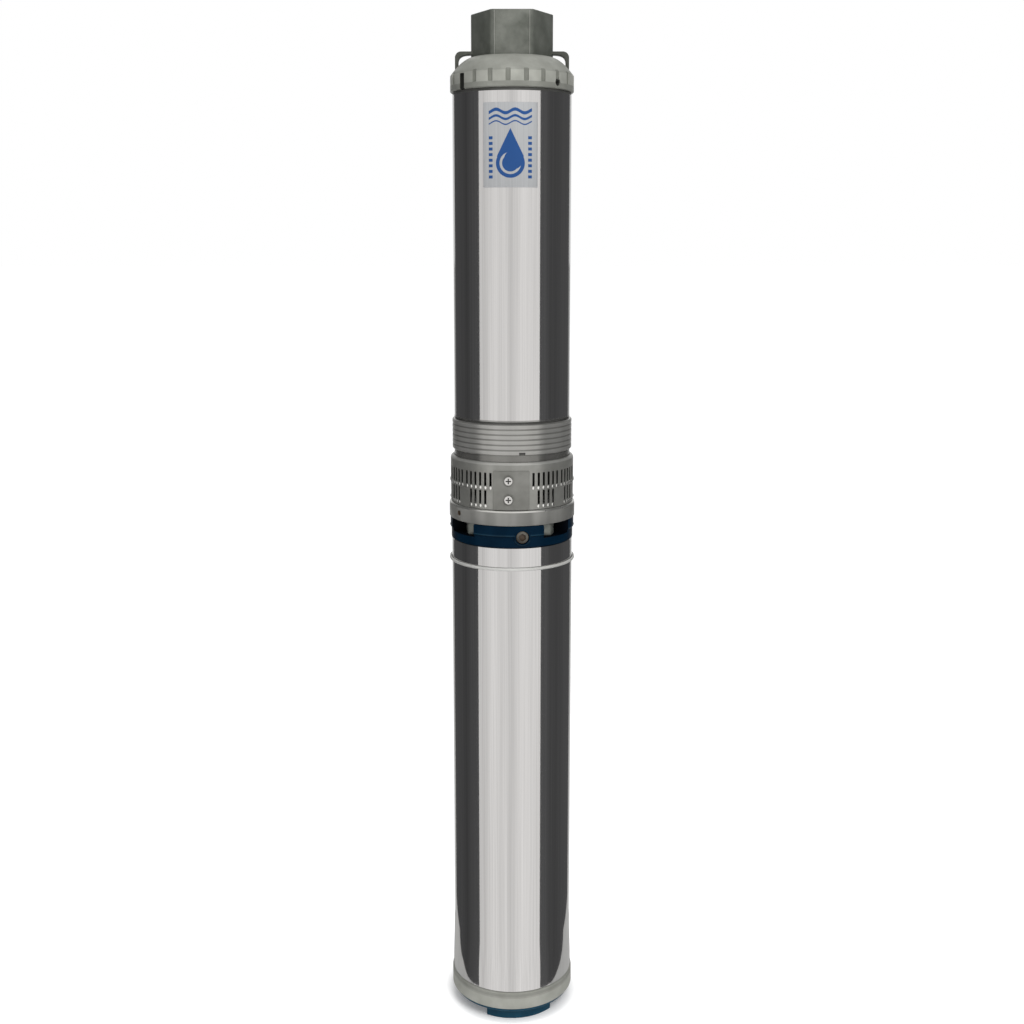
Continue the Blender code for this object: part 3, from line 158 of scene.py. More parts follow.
def turned(name, outline, steps=AROUND):
    """Lathe work: an outline of (radius, height) swept once about the pump's axis."""
    if outline[0][0] > 0:
        outline = [*outline, outline[0]]
    draw_outline(outline, lambda radius, height: (radius, 0, height))
    bpy.ops.mesh.spin(steps=steps, angle=math.tau, center=(0, 0, 0), axis=(0, 0, 1))
    weld_and_face_out()
    return settle(name)


def close_outline():
    """Fills the outline in hand with one face."""
    bpy.ops.mesh.remove_doubles(threshold=0.00001)
    bpy.ops.mesh.edge_face_add()


def cut_plate(name, outline, thickness, place, along):
    """A plate cut to an outline, with its thickness centred on the outline's plane."""
    way = Vector(along)
    offset = way * thickness / 2
    draw_outline([*outline, outline[0]], lambda across, up: Vector(place(across, up)) - offset)
    close_outline()
    bpy.ops.mesh.extrude_region_move(TRANSFORM_OT_translate={"value": way * thickness})
    weld_and_face_out()
    return settle(name)


def block(name, low, high):
    """A cuboid between two corners."""
    low, high = Vector(low), Vector(high)
    clear_selection()
    bpy.ops.mesh.primitive_cube_add(size=1, location=(low + high) / 2)
    bpy.context.object.scale = high - low
    return settle(name)


def bar(name, radius, start, end, sides=AROUND_SMALL):
    """A round bar between two points."""
    start, end = Vector(start), Vector(end)
    way = end - start
    clear_selection()
    bpy.ops.mesh.primitive_cylinder_add(
        vertices=sides, radius=radius, depth=way.length, location=(start + end) / 2,
        rotation=way.to_track_quat("Z", "Y").to_euler(),
    )
    return settle(name)


def hexagon(name, flats, low, high, turn=30.0):
    """An upright hexagonal prism; the turn of 30 degrees puts a flat to the front."""
    clear_selection()
    bpy.ops.mesh.primitive_cylinder_add(
        vertices=6, radius=flats / math.sqrt(3), depth=high - low,
        location=(0, 0, (low + high) / 2), rotation=(0, 0, math.radians(turn)),
    )
    return settle(name)


def turn_to(piece, angle):
    """Takes a piece that was made at the front to its angle around the pump."""
    piece.data.transform(Matrix.Rotation(math.radians(angle), 4, "Z"))
    piece.data.update()
    return piece


def joined(name, pieces):
    pick(*pieces)
    bpy.ops.object.join()
    pieces[0].name = name
    pieces[0].data.name = name
    return pieces[0]


def repeated(piece, angles):
    """The piece copied to each angle around the pump, as one object."""
    name = piece.name
    copies = []
    for angle in angles:
        copy = piece.copy()
        copy.data = piece.data.copy()
        bpy.context.collection.objects.link(copy)
        copies.append(turn_to(copy, angle))
    bpy.data.objects.remove(piece)
    return joined(name, copies)


def fuse(piece, tool, operation="UNION"):
    pick(piece)
    bpy.ops.object.modifier_add(type="BOOLEAN")
    step = piece.modifiers[-1]
    step.operation = operation
    step.object = tool
    bpy.ops.object.modifier_apply(modifier=step.name)
    bpy.data.objects.remove(tool)
    return piece


def carve(piece, *tools):
    for tool in tools:
        fuse(piece, tool, "DIFFERENCE")
    return piece


def ease_edges(piece, width, segments=2, angle=35.0):
    """Rounds the edges that are sharper than the angle."""
    pick(piece)
    bpy.ops.object.modifier_add(type="BEVEL")
    step = piece.modifiers[-1]
    step.width = width
    step.segments = segments
    step.limit_method = "ANGLE"
    step.angle_limit = math.radians(angle)
    bpy.ops.object.modifier_apply(modifier=step.name)
    return piece


def round_uprights(piece, width, segments):
    """Rounds only the upright edges."""
    pick(piece)
    bpy.ops.object.mode_set(mode="EDIT")
    bpy.ops.mesh.select_mode(type="EDGE")
    bpy.ops.mesh.select_all(action="DESELECT")
    bpy.ops.object.mode_set(mode="OBJECT")
    points = piece.data.vertices
    for edge in piece.data.edges:
        first, second = (points[i].co for i in edge.vertices)
        edge.select = (first.xy - second.xy).length < 0.0001
    bpy.ops.object.mode_set(mode="EDIT")
    bpy.ops.mesh.bevel(offset=width, segments=segments, affect="EDGES")
    bpy.ops.mesh.select_mode(type="VERT")
    bpy.ops.object.mode_set(mode="OBJECT")
    return piece


def dress(piece, material, slot, *nodes, smooth=32.0, body=HOUSING):
    """Gives a finished piece its surface, puts it on its body if it has one, and hides the solids that it
    takes the place of.
    """
    pick(piece)
    bpy.ops.object.shade_smooth_by_angle(angle=math.radians(smooth))
    piece.data.materials.clear()
    piece.data.materials.append(material)
    if body:
        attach(piece, body)
    if nodes:
        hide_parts(*nodes)
    return piece


def recolour(piece, material, belongs):
    """Gives a second surface to the faces whose centre and normal pass the test."""
    piece.data.materials.append(material)
    for face in piece.data.polygons:
        if belongs(face.center, face.normal):
            face.material_index = len(piece.data.materials) - 1


def angle_of(point):
    """Degrees around the pump from its front, to the right as the front is seen."""
    return math.degrees(math.atan2(point.x, -point.y))


# Shader groups


def shader_group(name, inputs, outputs):
    group = bpy.data.node_groups.new(name, "ShaderNodeTree")
    for label, default in inputs.items():
        socket = group.interface.new_socket(label, in_out="INPUT", socket_type="NodeSocketFloat")
        socket.default_value = default
    for label in outputs:
        group.interface.new_socket(label, in_out="OUTPUT", socket_type="NodeSocketFloat")
    return group, group.nodes.new("NodeGroupInput"), group.nodes.new("NodeGroupOutput")


def upright_grain():
    """Fine lines along the tube, from drawing and polishing, as a tone between 0 and 1."""
    group, given, result = shader_group("upright_grain", {"Fineness": 900.0}, ["Tone"])
    where = group.nodes.new("ShaderNodeTexCoord")
    stretch = group.nodes.new("ShaderNodeMapping")
    stretch.inputs["Scale"].default_value = (1.0, 1.0, 0.006)
    lines = group.nodes.new("ShaderNodeTexNoise")
    lines.inputs["Detail"].default_value = 4.0
    group.links.new(where.outputs["Object"], stretch.inputs["Vector"])
    group.links.new(stretch.outputs["Vector"], lines.inputs["Vector"])
    group.links.new(given.outputs["Fineness"], lines.inputs["Scale"])
    group.links.new(lines.outputs["Fac"], result.inputs["Tone"])
    return group


def cast_skin():
    """Blasted casting: soft blotches as a tone, and a fine pitted relief."""
    group, given, result = shader_group(
        "cast_skin", {"Blotches": 90.0, "Pits": 900.0}, ["Tone", "Relief"]
    )
    where = group.nodes.new("ShaderNodeTexCoord")
    for scale, detail, label in (("Blotches", 3.0, "Tone"), ("Pits", 4.0, "Relief")):
        noise = group.nodes.new("ShaderNodeTexNoise")
        noise.inputs["Detail"].default_value = detail
        group.links.new(where.outputs["Object"], noise.inputs["Vector"])
        group.links.new(given.outputs[scale], noise.inputs["Scale"])
        group.links.new(noise.outputs["Fac"], result.inputs[label])
    return group


def turning_marks():
    """Rings left by the lathe, as a tone and a relief."""
    group, given, result = shader_group("turning_marks", {"Fineness": 2600.0}, ["Tone", "Relief"])
    where = group.nodes.new("ShaderNodeTexCoord")
    flatten = group.nodes.new("ShaderNodeMapping")
    flatten.inputs["Scale"].default_value = (0.02, 0.02, 1.0)
    rings = group.nodes.new("ShaderNodeTexNoise")
    rings.inputs["Detail"].default_value = 3.0
    group.links.new(where.outputs["Object"], flatten.inputs["Vector"])
    group.links.new(flatten.outputs["Vector"], rings.inputs["Vector"])
    group.links.new(given.outputs["Fineness"], rings.inputs["Scale"])
    for label in ("Tone", "Relief"):
        group.links.new(rings.outputs["Fac"], result.inputs[label])
    return group


def soft_bands():
    """Broad upright bands of tone at random, which stand in for reflections of the surroundings on a dull
    turned surface: painted reflection, as a tone between 0 and 1.
    """
    group, given, result = shader_group("soft_bands", {"Width": 60.0}, ["Tone"])
    where = group.nodes.new("ShaderNodeTexCoord")
    flatten = group.nodes.new("ShaderNodeMapping")
    flatten.inputs["Location"].default_value = (0.013, 0.002, 0.0)
    flatten.inputs["Scale"].default_value = (1.0, 1.0, 0.05)
    bands = group.nodes.new("ShaderNodeTexNoise")
    bands.inputs["Detail"].default_value = 2.0
    group.links.new(where.outputs["Object"], flatten.inputs["Vector"])
    group.links.new(flatten.outputs["Vector"], bands.inputs["Vector"])
    group.links.new(given.outputs["Width"], bands.inputs["Scale"])
    group.links.new(bands.outputs["Fac"], result.inputs["Tone"])
    return group


GRAIN = upright_grain()
BANDS = soft_bands()
SKIN = cast_skin()
MARKS = turning_marks()


def mixed_colours(tree, first, second):
    blend = tree.nodes.new("ShaderNodeMix")
    blend.data_type = "RGBA"
    blend.inputs["A"].default_value = (*first, 1)
    blend.inputs["B"].default_value = (*second, 1)
    return blend


def finish(name, dark, light, roughness, metallic=0.0, effect=None, relief=0.0, gloss=0.5):
    """A surface whose colour and roughness wander between two values by an effect's tone."""
    material = bpy.data.materials.new(name)
    material.use_nodes = True
    tree = material.node_tree
    shader = tree.nodes["Principled BSDF"]
    shader.inputs["Metallic"].default_value = metallic
    shader.inputs["Specular IOR Level"].default_value = gloss
    if effect is None:
        shader.inputs["Base Color"].default_value = (*light, 1)
        shader.inputs["Roughness"].default_value = roughness[0]
        return material
    pattern = tree.nodes.new("ShaderNodeGroup")
    pattern.node_tree = effect
    contrast = tree.nodes.new("ShaderNodeMapRange")
    contrast.inputs["From Min"].default_value = 0.3
    contrast.inputs["From Max"].default_value = 0.7
    blend = mixed_colours(tree, dark, light)
    polish = tree.nodes.new("ShaderNodeMapRange")
    polish.inputs["To Min"].default_value = roughness[1]
    polish.inputs["To Max"].default_value = roughness[0]
    tree.links.new(pattern.outputs["Tone"], contrast.inputs["Value"])
    tree.links.new(contrast.outputs["Result"], blend.inputs["Factor"])
    tree.links.new(contrast.outputs["Result"], polish.inputs["Value"])
    tree.links.new(blend.outputs["Result"], shader.inputs["Base Color"])
    tree.links.new(polish.outputs["Result"], shader.inputs["Roughness"])
    if relief:
        bump = tree.nodes.new("ShaderNodeBump")
        bump.inputs["Strength"].default_value = relief
        bump.inputs["Distance"].default_value = 0.0002
        tree.links.new(pattern.outputs["Relief"], bump.inputs["Height"])
        tree.links.new(bump.outputs["Normal"], shader.inputs["Normal"])
    return material


POLISHED = finish("polished_tube", (0.58, 0.575, 0.57), (0.66, 0.655, 0.65), (0.06, 0.10), 1.0, GRAIN)
# The steels below that use BANDS carry its upright bands, which are painted reflection.
SATIN = finish("turned_steel", (0.32, 0.318, 0.30), (0.42, 0.415, 0.40), (0.27, 0.34), 0.62, BANDS)
# Painted shade: a darker copy of the bracket's steel for the neck and legs under the collar.
SHADED_NECK_STEEL = finish("neck_steel_painted_shade", (0.17, 0.168, 0.157), (0.235, 0.232, 0.218), (0.21, 0.28), 0.7, BANDS)
# Painted shade: a darker copy of the tube's steel for a band just above its lower rolled neck.
SEAM_SHADE_STEEL = finish("seam_painted_shade", (0.30, 0.298, 0.285), (0.36, 0.358, 0.345), (0.14, 0.2), 0.9, GRAIN)
# Painted shade: near-black steel for the rolled necks of the tube, the nick in the collar and the crosses of
# the plate screws.
GROOVE_SHADE = finish("groove_painted_shade", (0.06, 0.06, 0.055), (0.095, 0.095, 0.09), (0.5, 0.6), 0.3, BANDS)
# Painted shade: a darker copy of the bracket's steel for the grooves between the collar's ribs.
RIB_GROOVE_SHADE = finish("rib_groove_painted_shade", (0.17, 0.17, 0.158), (0.23, 0.23, 0.217), (0.36, 0.46), 0.55, BANDS)
# Painted reflection: strong upright bands, dark to light, that stand in for reflection streaks on the
# bracket's ring.
FOOT_STEEL = finish("foot_ring_steel", (0.15, 0.149, 0.139), (0.30, 0.298, 0.28), (0.30, 0.38), 0.3, BANDS)
SHEET = finish("strainer_sheet", (0.235, 0.235, 0.217), (0.295, 0.295, 0.275), (0.30, 0.40), 0.55, SKIN, 0.05)
# Painted highlight: a lighter copy of the sheet for the rounded top edge of the strainer.
SHEET_EDGE_HIGHLIGHT = finish("sheet_edge_painted_highlight", (0.34, 0.34, 0.32), (0.41, 0.41, 0.39), (0.34, 0.42), 0.55, SKIN)
PLATE = finish("plate_sheet", (0.17, 0.17, 0.155), (0.225, 0.225, 0.208), (0.34, 0.44), 0.5, SKIN, 0.05)
# Painted highlight: a near-white, shinier copy of the strainer sheet for the lips pressed from it.
LIP_HIGHLIGHT = finish("pressed_lips_painted_highlight", (0.75, 0.75, 0.72), (0.85, 0.85, 0.82), (0.2, 0.26), 0.95, SKIN)
# Painted highlight: EDGE is a lighter copy of the bracket's steel for the rounded top edge of its ring.
EDGE = finish("ring_edge_painted_highlight", (0.58, 0.58, 0.55), (0.68, 0.68, 0.65), (0.26, 0.33), 0.9, SKIN)
CASTING = finish("grey_casting", (0.235, 0.24, 0.214), (0.31, 0.315, 0.284), (0.42, 0.55), 0.2, SKIN, 0.2)
# Painted light: a lighter copy of the grey casting for the skirt's pads.
PADS_PAINTED_LIGHT = finish("casting_pads_painted_light", (0.30, 0.305, 0.273), (0.375, 0.38, 0.343),
                       (0.40, 0.5), 0.2, SKIN, 0.2)
# Painted shade: a darker copy of the grey casting for the skirt's lowest band.
SKIRT_BAND_SHADE = finish("skirt_band_painted_shade", (0.20, 0.204, 0.181), (0.265, 0.27, 0.242), (0.42, 0.55), 0.2, SKIN, 0.2)
# Painted shade: a darker copy of the grey casting for the floors of the rib gaps.
GAP_SHADE = finish("casting_gaps_painted_shade", (0.15, 0.155, 0.135), (0.20, 0.205, 0.18), (0.45, 0.6), 0.1, SKIN, 0.2)
# Painted shade: near black for slots, seats and holes where shade falls.
RECESS_SHADE = finish("recess_painted_shade", (0.012, 0.013, 0.011), (0.02, 0.021, 0.018), (0.7, 0.8), 0.0, SKIN)
BOSS_SKIN = finish("boss_casting", (0.085, 0.092, 0.078), (0.13, 0.138, 0.12), (0.42, 0.55), 0.25, SKIN, 0.35)
PAD_SKIN = finish("boss_pad_casting", (0.09, 0.097, 0.082), (0.185, 0.193, 0.17),
                  (0.42, 0.55), 0.25, SKIN, 0.8)
# Painted highlight: a lighter copy of the casting for thin strips along the pad's upright edges.
PAD_RIM_HIGHLIGHT = finish("boss_pad_rim_painted_highlight", (0.19, 0.195, 0.175), (0.26, 0.265, 0.24), (0.4, 0.5), 0.25, SKIN, 0.2)
# Painted shade: a near-black copy of the grey casting for the rope eyes.
EYE_SHADE = finish("eye_casting_painted_shade", (0.055, 0.058, 0.048), (0.08, 0.085, 0.073), (0.45, 0.55), 0.2, SKIN, 0.3)
OLIVE = finish("olive_casting", (0.33, 0.335, 0.298), (0.40, 0.405, 0.366), (0.40, 0.5), 0.2, SKIN, 0.12)
# Painted shade: two darker copies of the olive casting for the top of the base ring, under the motor tube.
OLIVE_SEAM_SHADE = finish("olive_seam_painted_shade", (0.225, 0.228, 0.203), (0.28, 0.283, 0.255), (0.45, 0.55), 0.15, SKIN, 0.12)
OLIVE_BAND_SHADE = finish("olive_band_painted_shade", (0.27, 0.274, 0.243), (0.33, 0.334, 0.302), (0.42, 0.52), 0.2, SKIN, 0.12)
BLUE = finish("blue_enamel", (0.0004, 0.0085, 0.021), (0.0009, 0.0125, 0.0295),
              (0.3, 0.38), 0.0, SKIN, 0.12, 0.04)
# Painted highlight: a lighter copy of the blue enamel for the bead and the edge of the plug boss.
BLUE_EDGE_HIGHLIGHT = finish("enamel_edge_painted_highlight", (0.001, 0.016, 0.032), (0.004, 0.029, 0.053),
                   (0.3, 0.38), 0.0, SKIN, 0.12, 0.15)
# Painted shade: a near-black copy of the blue enamel for the inside of the nut pockets.
POCKET_SHADE = finish("enamel_pocket_painted_shade", (0.0003, 0.001, 0.003), (0.0005, 0.002, 0.005),
                   (0.6, 0.7), 0.0, SKIN, 0.0, 0.1)
FOOT_BLUE = finish("foot_enamel", (0.005, 0.05, 0.09), (0.009, 0.069, 0.118),
                   (0.34, 0.42), 0.0, SKIN, 0.12, 0.2)
BRIGHT = finish("bright_steel", (0.62, 0.62, 0.60), (0.74, 0.73, 0.71), (0.16, 0.22), 1.0, SKIN)
NUT = finish("zinc_nut", (0.10, 0.108, 0.095), (0.26, 0.272, 0.245), (0.3, 0.42), 0.45, SKIN)
WIRE = finish("drawn_wire", (0.52, 0.52, 0.50), (0.60, 0.60, 0.58), (0.4, 0.5), 0.25, SKIN)
PLUG = finish("plug_face", (0.04, 0.037, 0.031), (0.13, 0.123, 0.105), (0.28, 0.4), 0.6, SKIN, 0.2)
RUST = finish("rusty_hole", (0.05, 0.032, 0.02), (0.11, 0.08, 0.055), (0.5, 0.65), 0.2, SKIN, 0.2)
SHAFT = finish("ground_shaft", (0.5, 0.5, 0.5), (0.58, 0.58, 0.58), (0.2, 0.3), 1.0, MARKS)
RESIN = finish("stage_resin", (0.03, 0.033, 0.038), (0.05, 0.055, 0.06), (0.4, 0.55), 0.0, SKIN)
RUBBER = finish("black_rubber", (0.014, 0.014, 0.014), (0.024, 0.024, 0.024), (0.6, 0.75), 0.0, SKIN)
IRON = finish("varnished_iron", (0.12, 0.12, 0.125), (0.2, 0.2, 0.205), (0.45, 0.6), 0.6, MARKS)
COPPER = finish("enamelled_copper", (0.40, 0.16, 0.06), (0.58, 0.26, 0.11), (0.3, 0.45), 1.0, SKIN)
CARBON = finish("pressed_carbon", (0.02, 0.02, 0.022), (0.035, 0.035, 0.037), (0.4, 0.55), 0.0, SKIN)


def make_tubes():
    """The two polished tubes; the lower one is swaged out over the base."""
    inner = PUMP_TUBE - TUBE_WALL
    neck = 0.0006
    outline = [
        (PUMP_TUBE - neck, PUMP_TOP_Z), (PUMP_TUBE - neck, PUMP_TOP_Z - 0.0014),
        (PUMP_TUBE, PUMP_TOP_Z - 0.0020), (PUMP_TUBE, PUMP_TOP_Z - 0.0025),
        (PUMP_TUBE, SEAM_Z + 0.0033), (PUMP_TUBE, SEAM_Z + 0.0028), (PUMP_TUBE, SEAM_Z + 0.0016),
        (PUMP_TUBE - neck, SEAM_Z + 0.0010), (PUMP_TUBE - neck, SEAM_Z),
        (inner, SEAM_Z), (inner, PUMP_TOP_Z),
    ]
    tube = turned("pump_tube", outline)
    dress(tube, POLISHED, "polished_steel", "pump_shell")
    # Painted shade: the rolled necks and end faces of the tube are near black.
    recolour(tube, GROOVE_SHADE, lambda spot, out: spot.xy.length > inner + 0.0003
             and not SEAM_Z + 0.0015 < spot.z < PUMP_TOP_Z - 0.0019)
    # Painted shade: a darker band on the tube just above its lower rolled neck.
    recolour(tube, SEAM_SHADE_STEEL, lambda spot, out: spot.xy.length > inner + 0.0003
             and SEAM_Z + 0.0016 < spot.z < SEAM_Z + 0.0028)

    inner = MOTOR_TUBE - TUBE_WALL
    swage_z = MOTOR_Z + 0.0020
    flare = 0.0400
    shoulder = []
    for i in range(25):
        share = i / 24
        ease = (1 - math.cos(math.pi * share)) / 2
        shoulder.append((MOTOR_TUBE + (SWAGE - MOTOR_TUBE) * ease, swage_z + flare * (1 - share)))
    outline = [
        (MOTOR_TUBE - 0.0003, MOTOR_TOP_Z), (MOTOR_TUBE, MOTOR_TOP_Z - 0.0003),
        (MOTOR_TUBE, MOTOR_TOP_Z - 0.001), *shoulder, (SWAGE, MOTOR_Z + 0.001),
        (SWAGE, MOTOR_Z + 0.0003), (SWAGE - 0.0003, MOTOR_Z), (inner, MOTOR_Z),
        (inner, MOTOR_TOP_Z),
    ]
    tube = turned("motor_tube", outline)
    dress(tube, POLISHED, "polished_steel", "motor_shell")


def rope_eye(side):
    """Arched strap from the boss out over the crown, as in the solids, with rounded edges."""
    top = BOSS_Z + 0.0049
    strap = 0.0025
    outer = 0.043
    start = 0.0270
    corner = 0.0046
    outline = [(start, top)]
    for i in range(9):
        turn = math.pi / 2 * i / 8
        outline.append((outer - corner + corner * math.sin(turn),
                        top - corner + corner * math.cos(turn)))
    outline += [(outer, CROWN_Z), (outer - strap, CROWN_Z)]
    spring_z = CROWN_Z + 0.0067
    rise = top - strap - spring_z
    for i in range(13):
        turn = math.pi / 2 * i / 12
        outline.append((start + (outer - strap - start) * math.cos(turn) ** 0.5,
                        spring_z + rise * math.sin(turn) ** 0.5))
    name = "left_eye" if side < 0 else "right_eye"
    eye = cut_plate(name, outline, 0.007, lambda x, z: (side * x, 0, z), (0, 1, 0))
    return ease_edges(eye, 0.0005, 3, 60)


def make_outlet():
    """The cast top, with its ribbed skirt, crown, hexagonal boss, rope eyes and threaded bore."""
    def crown_height(radius):
        share = min(max((radius - CROWN) / (SKIRT - CROWN), 0), 1)
        return CROWN_Z + 0.0134 * (1 - share ** 1.8)

    rims = [CROWN + (SKIRT - CROWN) * i / 12 for i in range(13)]
    crown = [(radius, crown_height(radius)) for radius in rims]
    outline = [
        (0, BOSS_Z), *crown, (SKIRT, SKIRT_Z + 0.0042), (SKIRT, SKIRT_Z + 0.0006),
        (SKIRT - 0.0006, SKIRT_Z),
        (SPIGOT, SKIRT_Z), (SPIGOT, HEAD_SPIGOT_Z), (0, HEAD_SPIGOT_Z),
    ]
    casting = turned("outlet_casting", outline)
    grooves = block("rib_gaps", (-0.0018, -SKIRT - 0.003, SKIRT_Z + 0.0042),
                    (0.0018, -SKIRT + 0.0011, CROWN_Z + 0.0026))
    ease_edges(grooves, 0.0005, 2)
    gap_angles = [-3.5 + 360 / 22 * i for i in range(22) if i != 19]
    casting = carve(casting, repeated(grooves, gap_angles))
    eyes = [rope_eye(-1), rope_eye(1)]
    boss = hexagon("outlet_boss", 0.0545, BOSS_Z - 0.0067, TOP_Z)
    round_uprights(boss, 0.0020, 5)
    ease_edges(boss, 0.0007, 2, 60)
    pad = block("boss_pad", (-0.0126, -0.0279, BOSS_Z - 0.004), (0.0126, -0.0265, TOP_Z - 0.0005))
    ease_edges(pad, 0.0003, 2)
    for piece in (*eyes, boss):
        casting = fuse(casting, piece)
    bore = [(0, TOP_Z + 0.01), (0.0219, TOP_Z + 0.01), (0.0219, TOP_Z)]
    depth = TOP_Z - 0.0011
    while depth > TOP_Z - 0.022:
        bore += [(0.0209, depth), (0.0196, depth - 0.00115)]
        depth -= 0.0023
    shelf_z = span("valve_guide")[0] - 0.0003
    chamber_z = span("check_valve")[0]
    bore += [
        (0.0195, shelf_z), (0.017, shelf_z), (0.017, shelf_z - 0.003), (0.036, chamber_z + 0.0115),
        (0.036, chamber_z), (0.038, chamber_z), (0.038, HEAD_SPIGOT_Z - 0.01),
        (0, HEAD_SPIGOT_Z - 0.01),
    ]
    slot = turn_to(block("skirt_slot", (-0.0025, -0.056, SKIRT_Z - 0.002),
                         (0.0025, -0.0449, CROWN_Z - 0.0005)), SLOT_TURN)
    screw_z = SKIRT_Z + 0.0044
    seat = turn_to(bar("screw_seat", 0.0026, (0, -0.056, screw_z), (0, -0.0424, screw_z)), SET_SCREW_TURN)
    carve(casting, turned("waterway", bore, 96), slot, seat)
    dress(casting, CASTING, "cast_head", "discharge_head", smooth=38)
    recolour(casting, BOSS_SKIN, lambda spot, out: spot.z > BOSS_Z - 0.0004 and spot.xy.length < 0.0325)
    # Painted shade: the rope eyes are a near-black copy of the casting.
    recolour(casting, EYE_SHADE, lambda spot, out: abs(spot.x) > 0.0315 and abs(spot.y) < 0.0036
             and spot.z > crown_height(spot.xy.length) + 0.0003)
    # Painted light: the pads between the skirt's rib gaps are lighter than the rest of the casting.
    recolour(casting, PADS_PAINTED_LIGHT, lambda spot, out: spot.xy.length > SKIRT - 0.0004
             and SKIRT_Z + 0.0005 < spot.z < CROWN_Z)
    # Painted shade: the skirt's lowest band, under the pads, is darker.
    recolour(casting, SKIRT_BAND_SHADE, lambda spot, out: spot.xy.length > SKIRT - 0.0007
             and SKIRT_Z - 0.0001 < spot.z < SKIRT_Z + 0.0041)
    # Painted shade: the floors of the rib gaps are darker than the pads.
    recolour(casting, GAP_SHADE, lambda spot, out: SPIGOT < spot.xy.length < SKIRT - 0.0004
             and SKIRT_Z + 0.0040 < spot.z < crown_height(spot.xy.length) - 0.0003)
    # Painted shade: the faces inside the skirt's slot are near black.
    recolour(casting, RECESS_SHADE, lambda spot, out: abs(angle_of(spot) - SLOT_TURN) < 3.6
             and SPIGOT < spot.xy.length < SKIRT - 0.0002 and SKIRT_Z < spot.z < CROWN_Z - 0.0003)
    dress(pad, PAD_SKIN, "cast_head")
    # Painted highlight: thin lighter strips along the upright edges of the pad.
    rims = [block("pad_rim", (x - 0.0004, -0.0283, BOSS_Z - 0.004), (x + 0.0004, -0.0265, TOP_Z - 0.0009))
            for x in (-0.0130, 0.0130)]
    rim = ease_edges(joined("pad_rim", rims), 0.0002, 2)
    dress(rim, PAD_RIM_HIGHLIGHT, "cast_head")
    screw = bar("skirt_screw", 0.0023, (0, -0.0462, screw_z), (0, -0.0427, screw_z), 32)
    socket = bar("screw_socket", 0.0013, (0, -0.05, screw_z), (0, -0.0445, screw_z), 6)
    screw = turn_to(carve(ease_edges(screw, 0.0003), socket), SET_SCREW_TURN)
    # Painted shade: the set screw, down in its seat, is near black.
    dress(screw, RECESS_SHADE, "bright_steel", "head_set_screw")


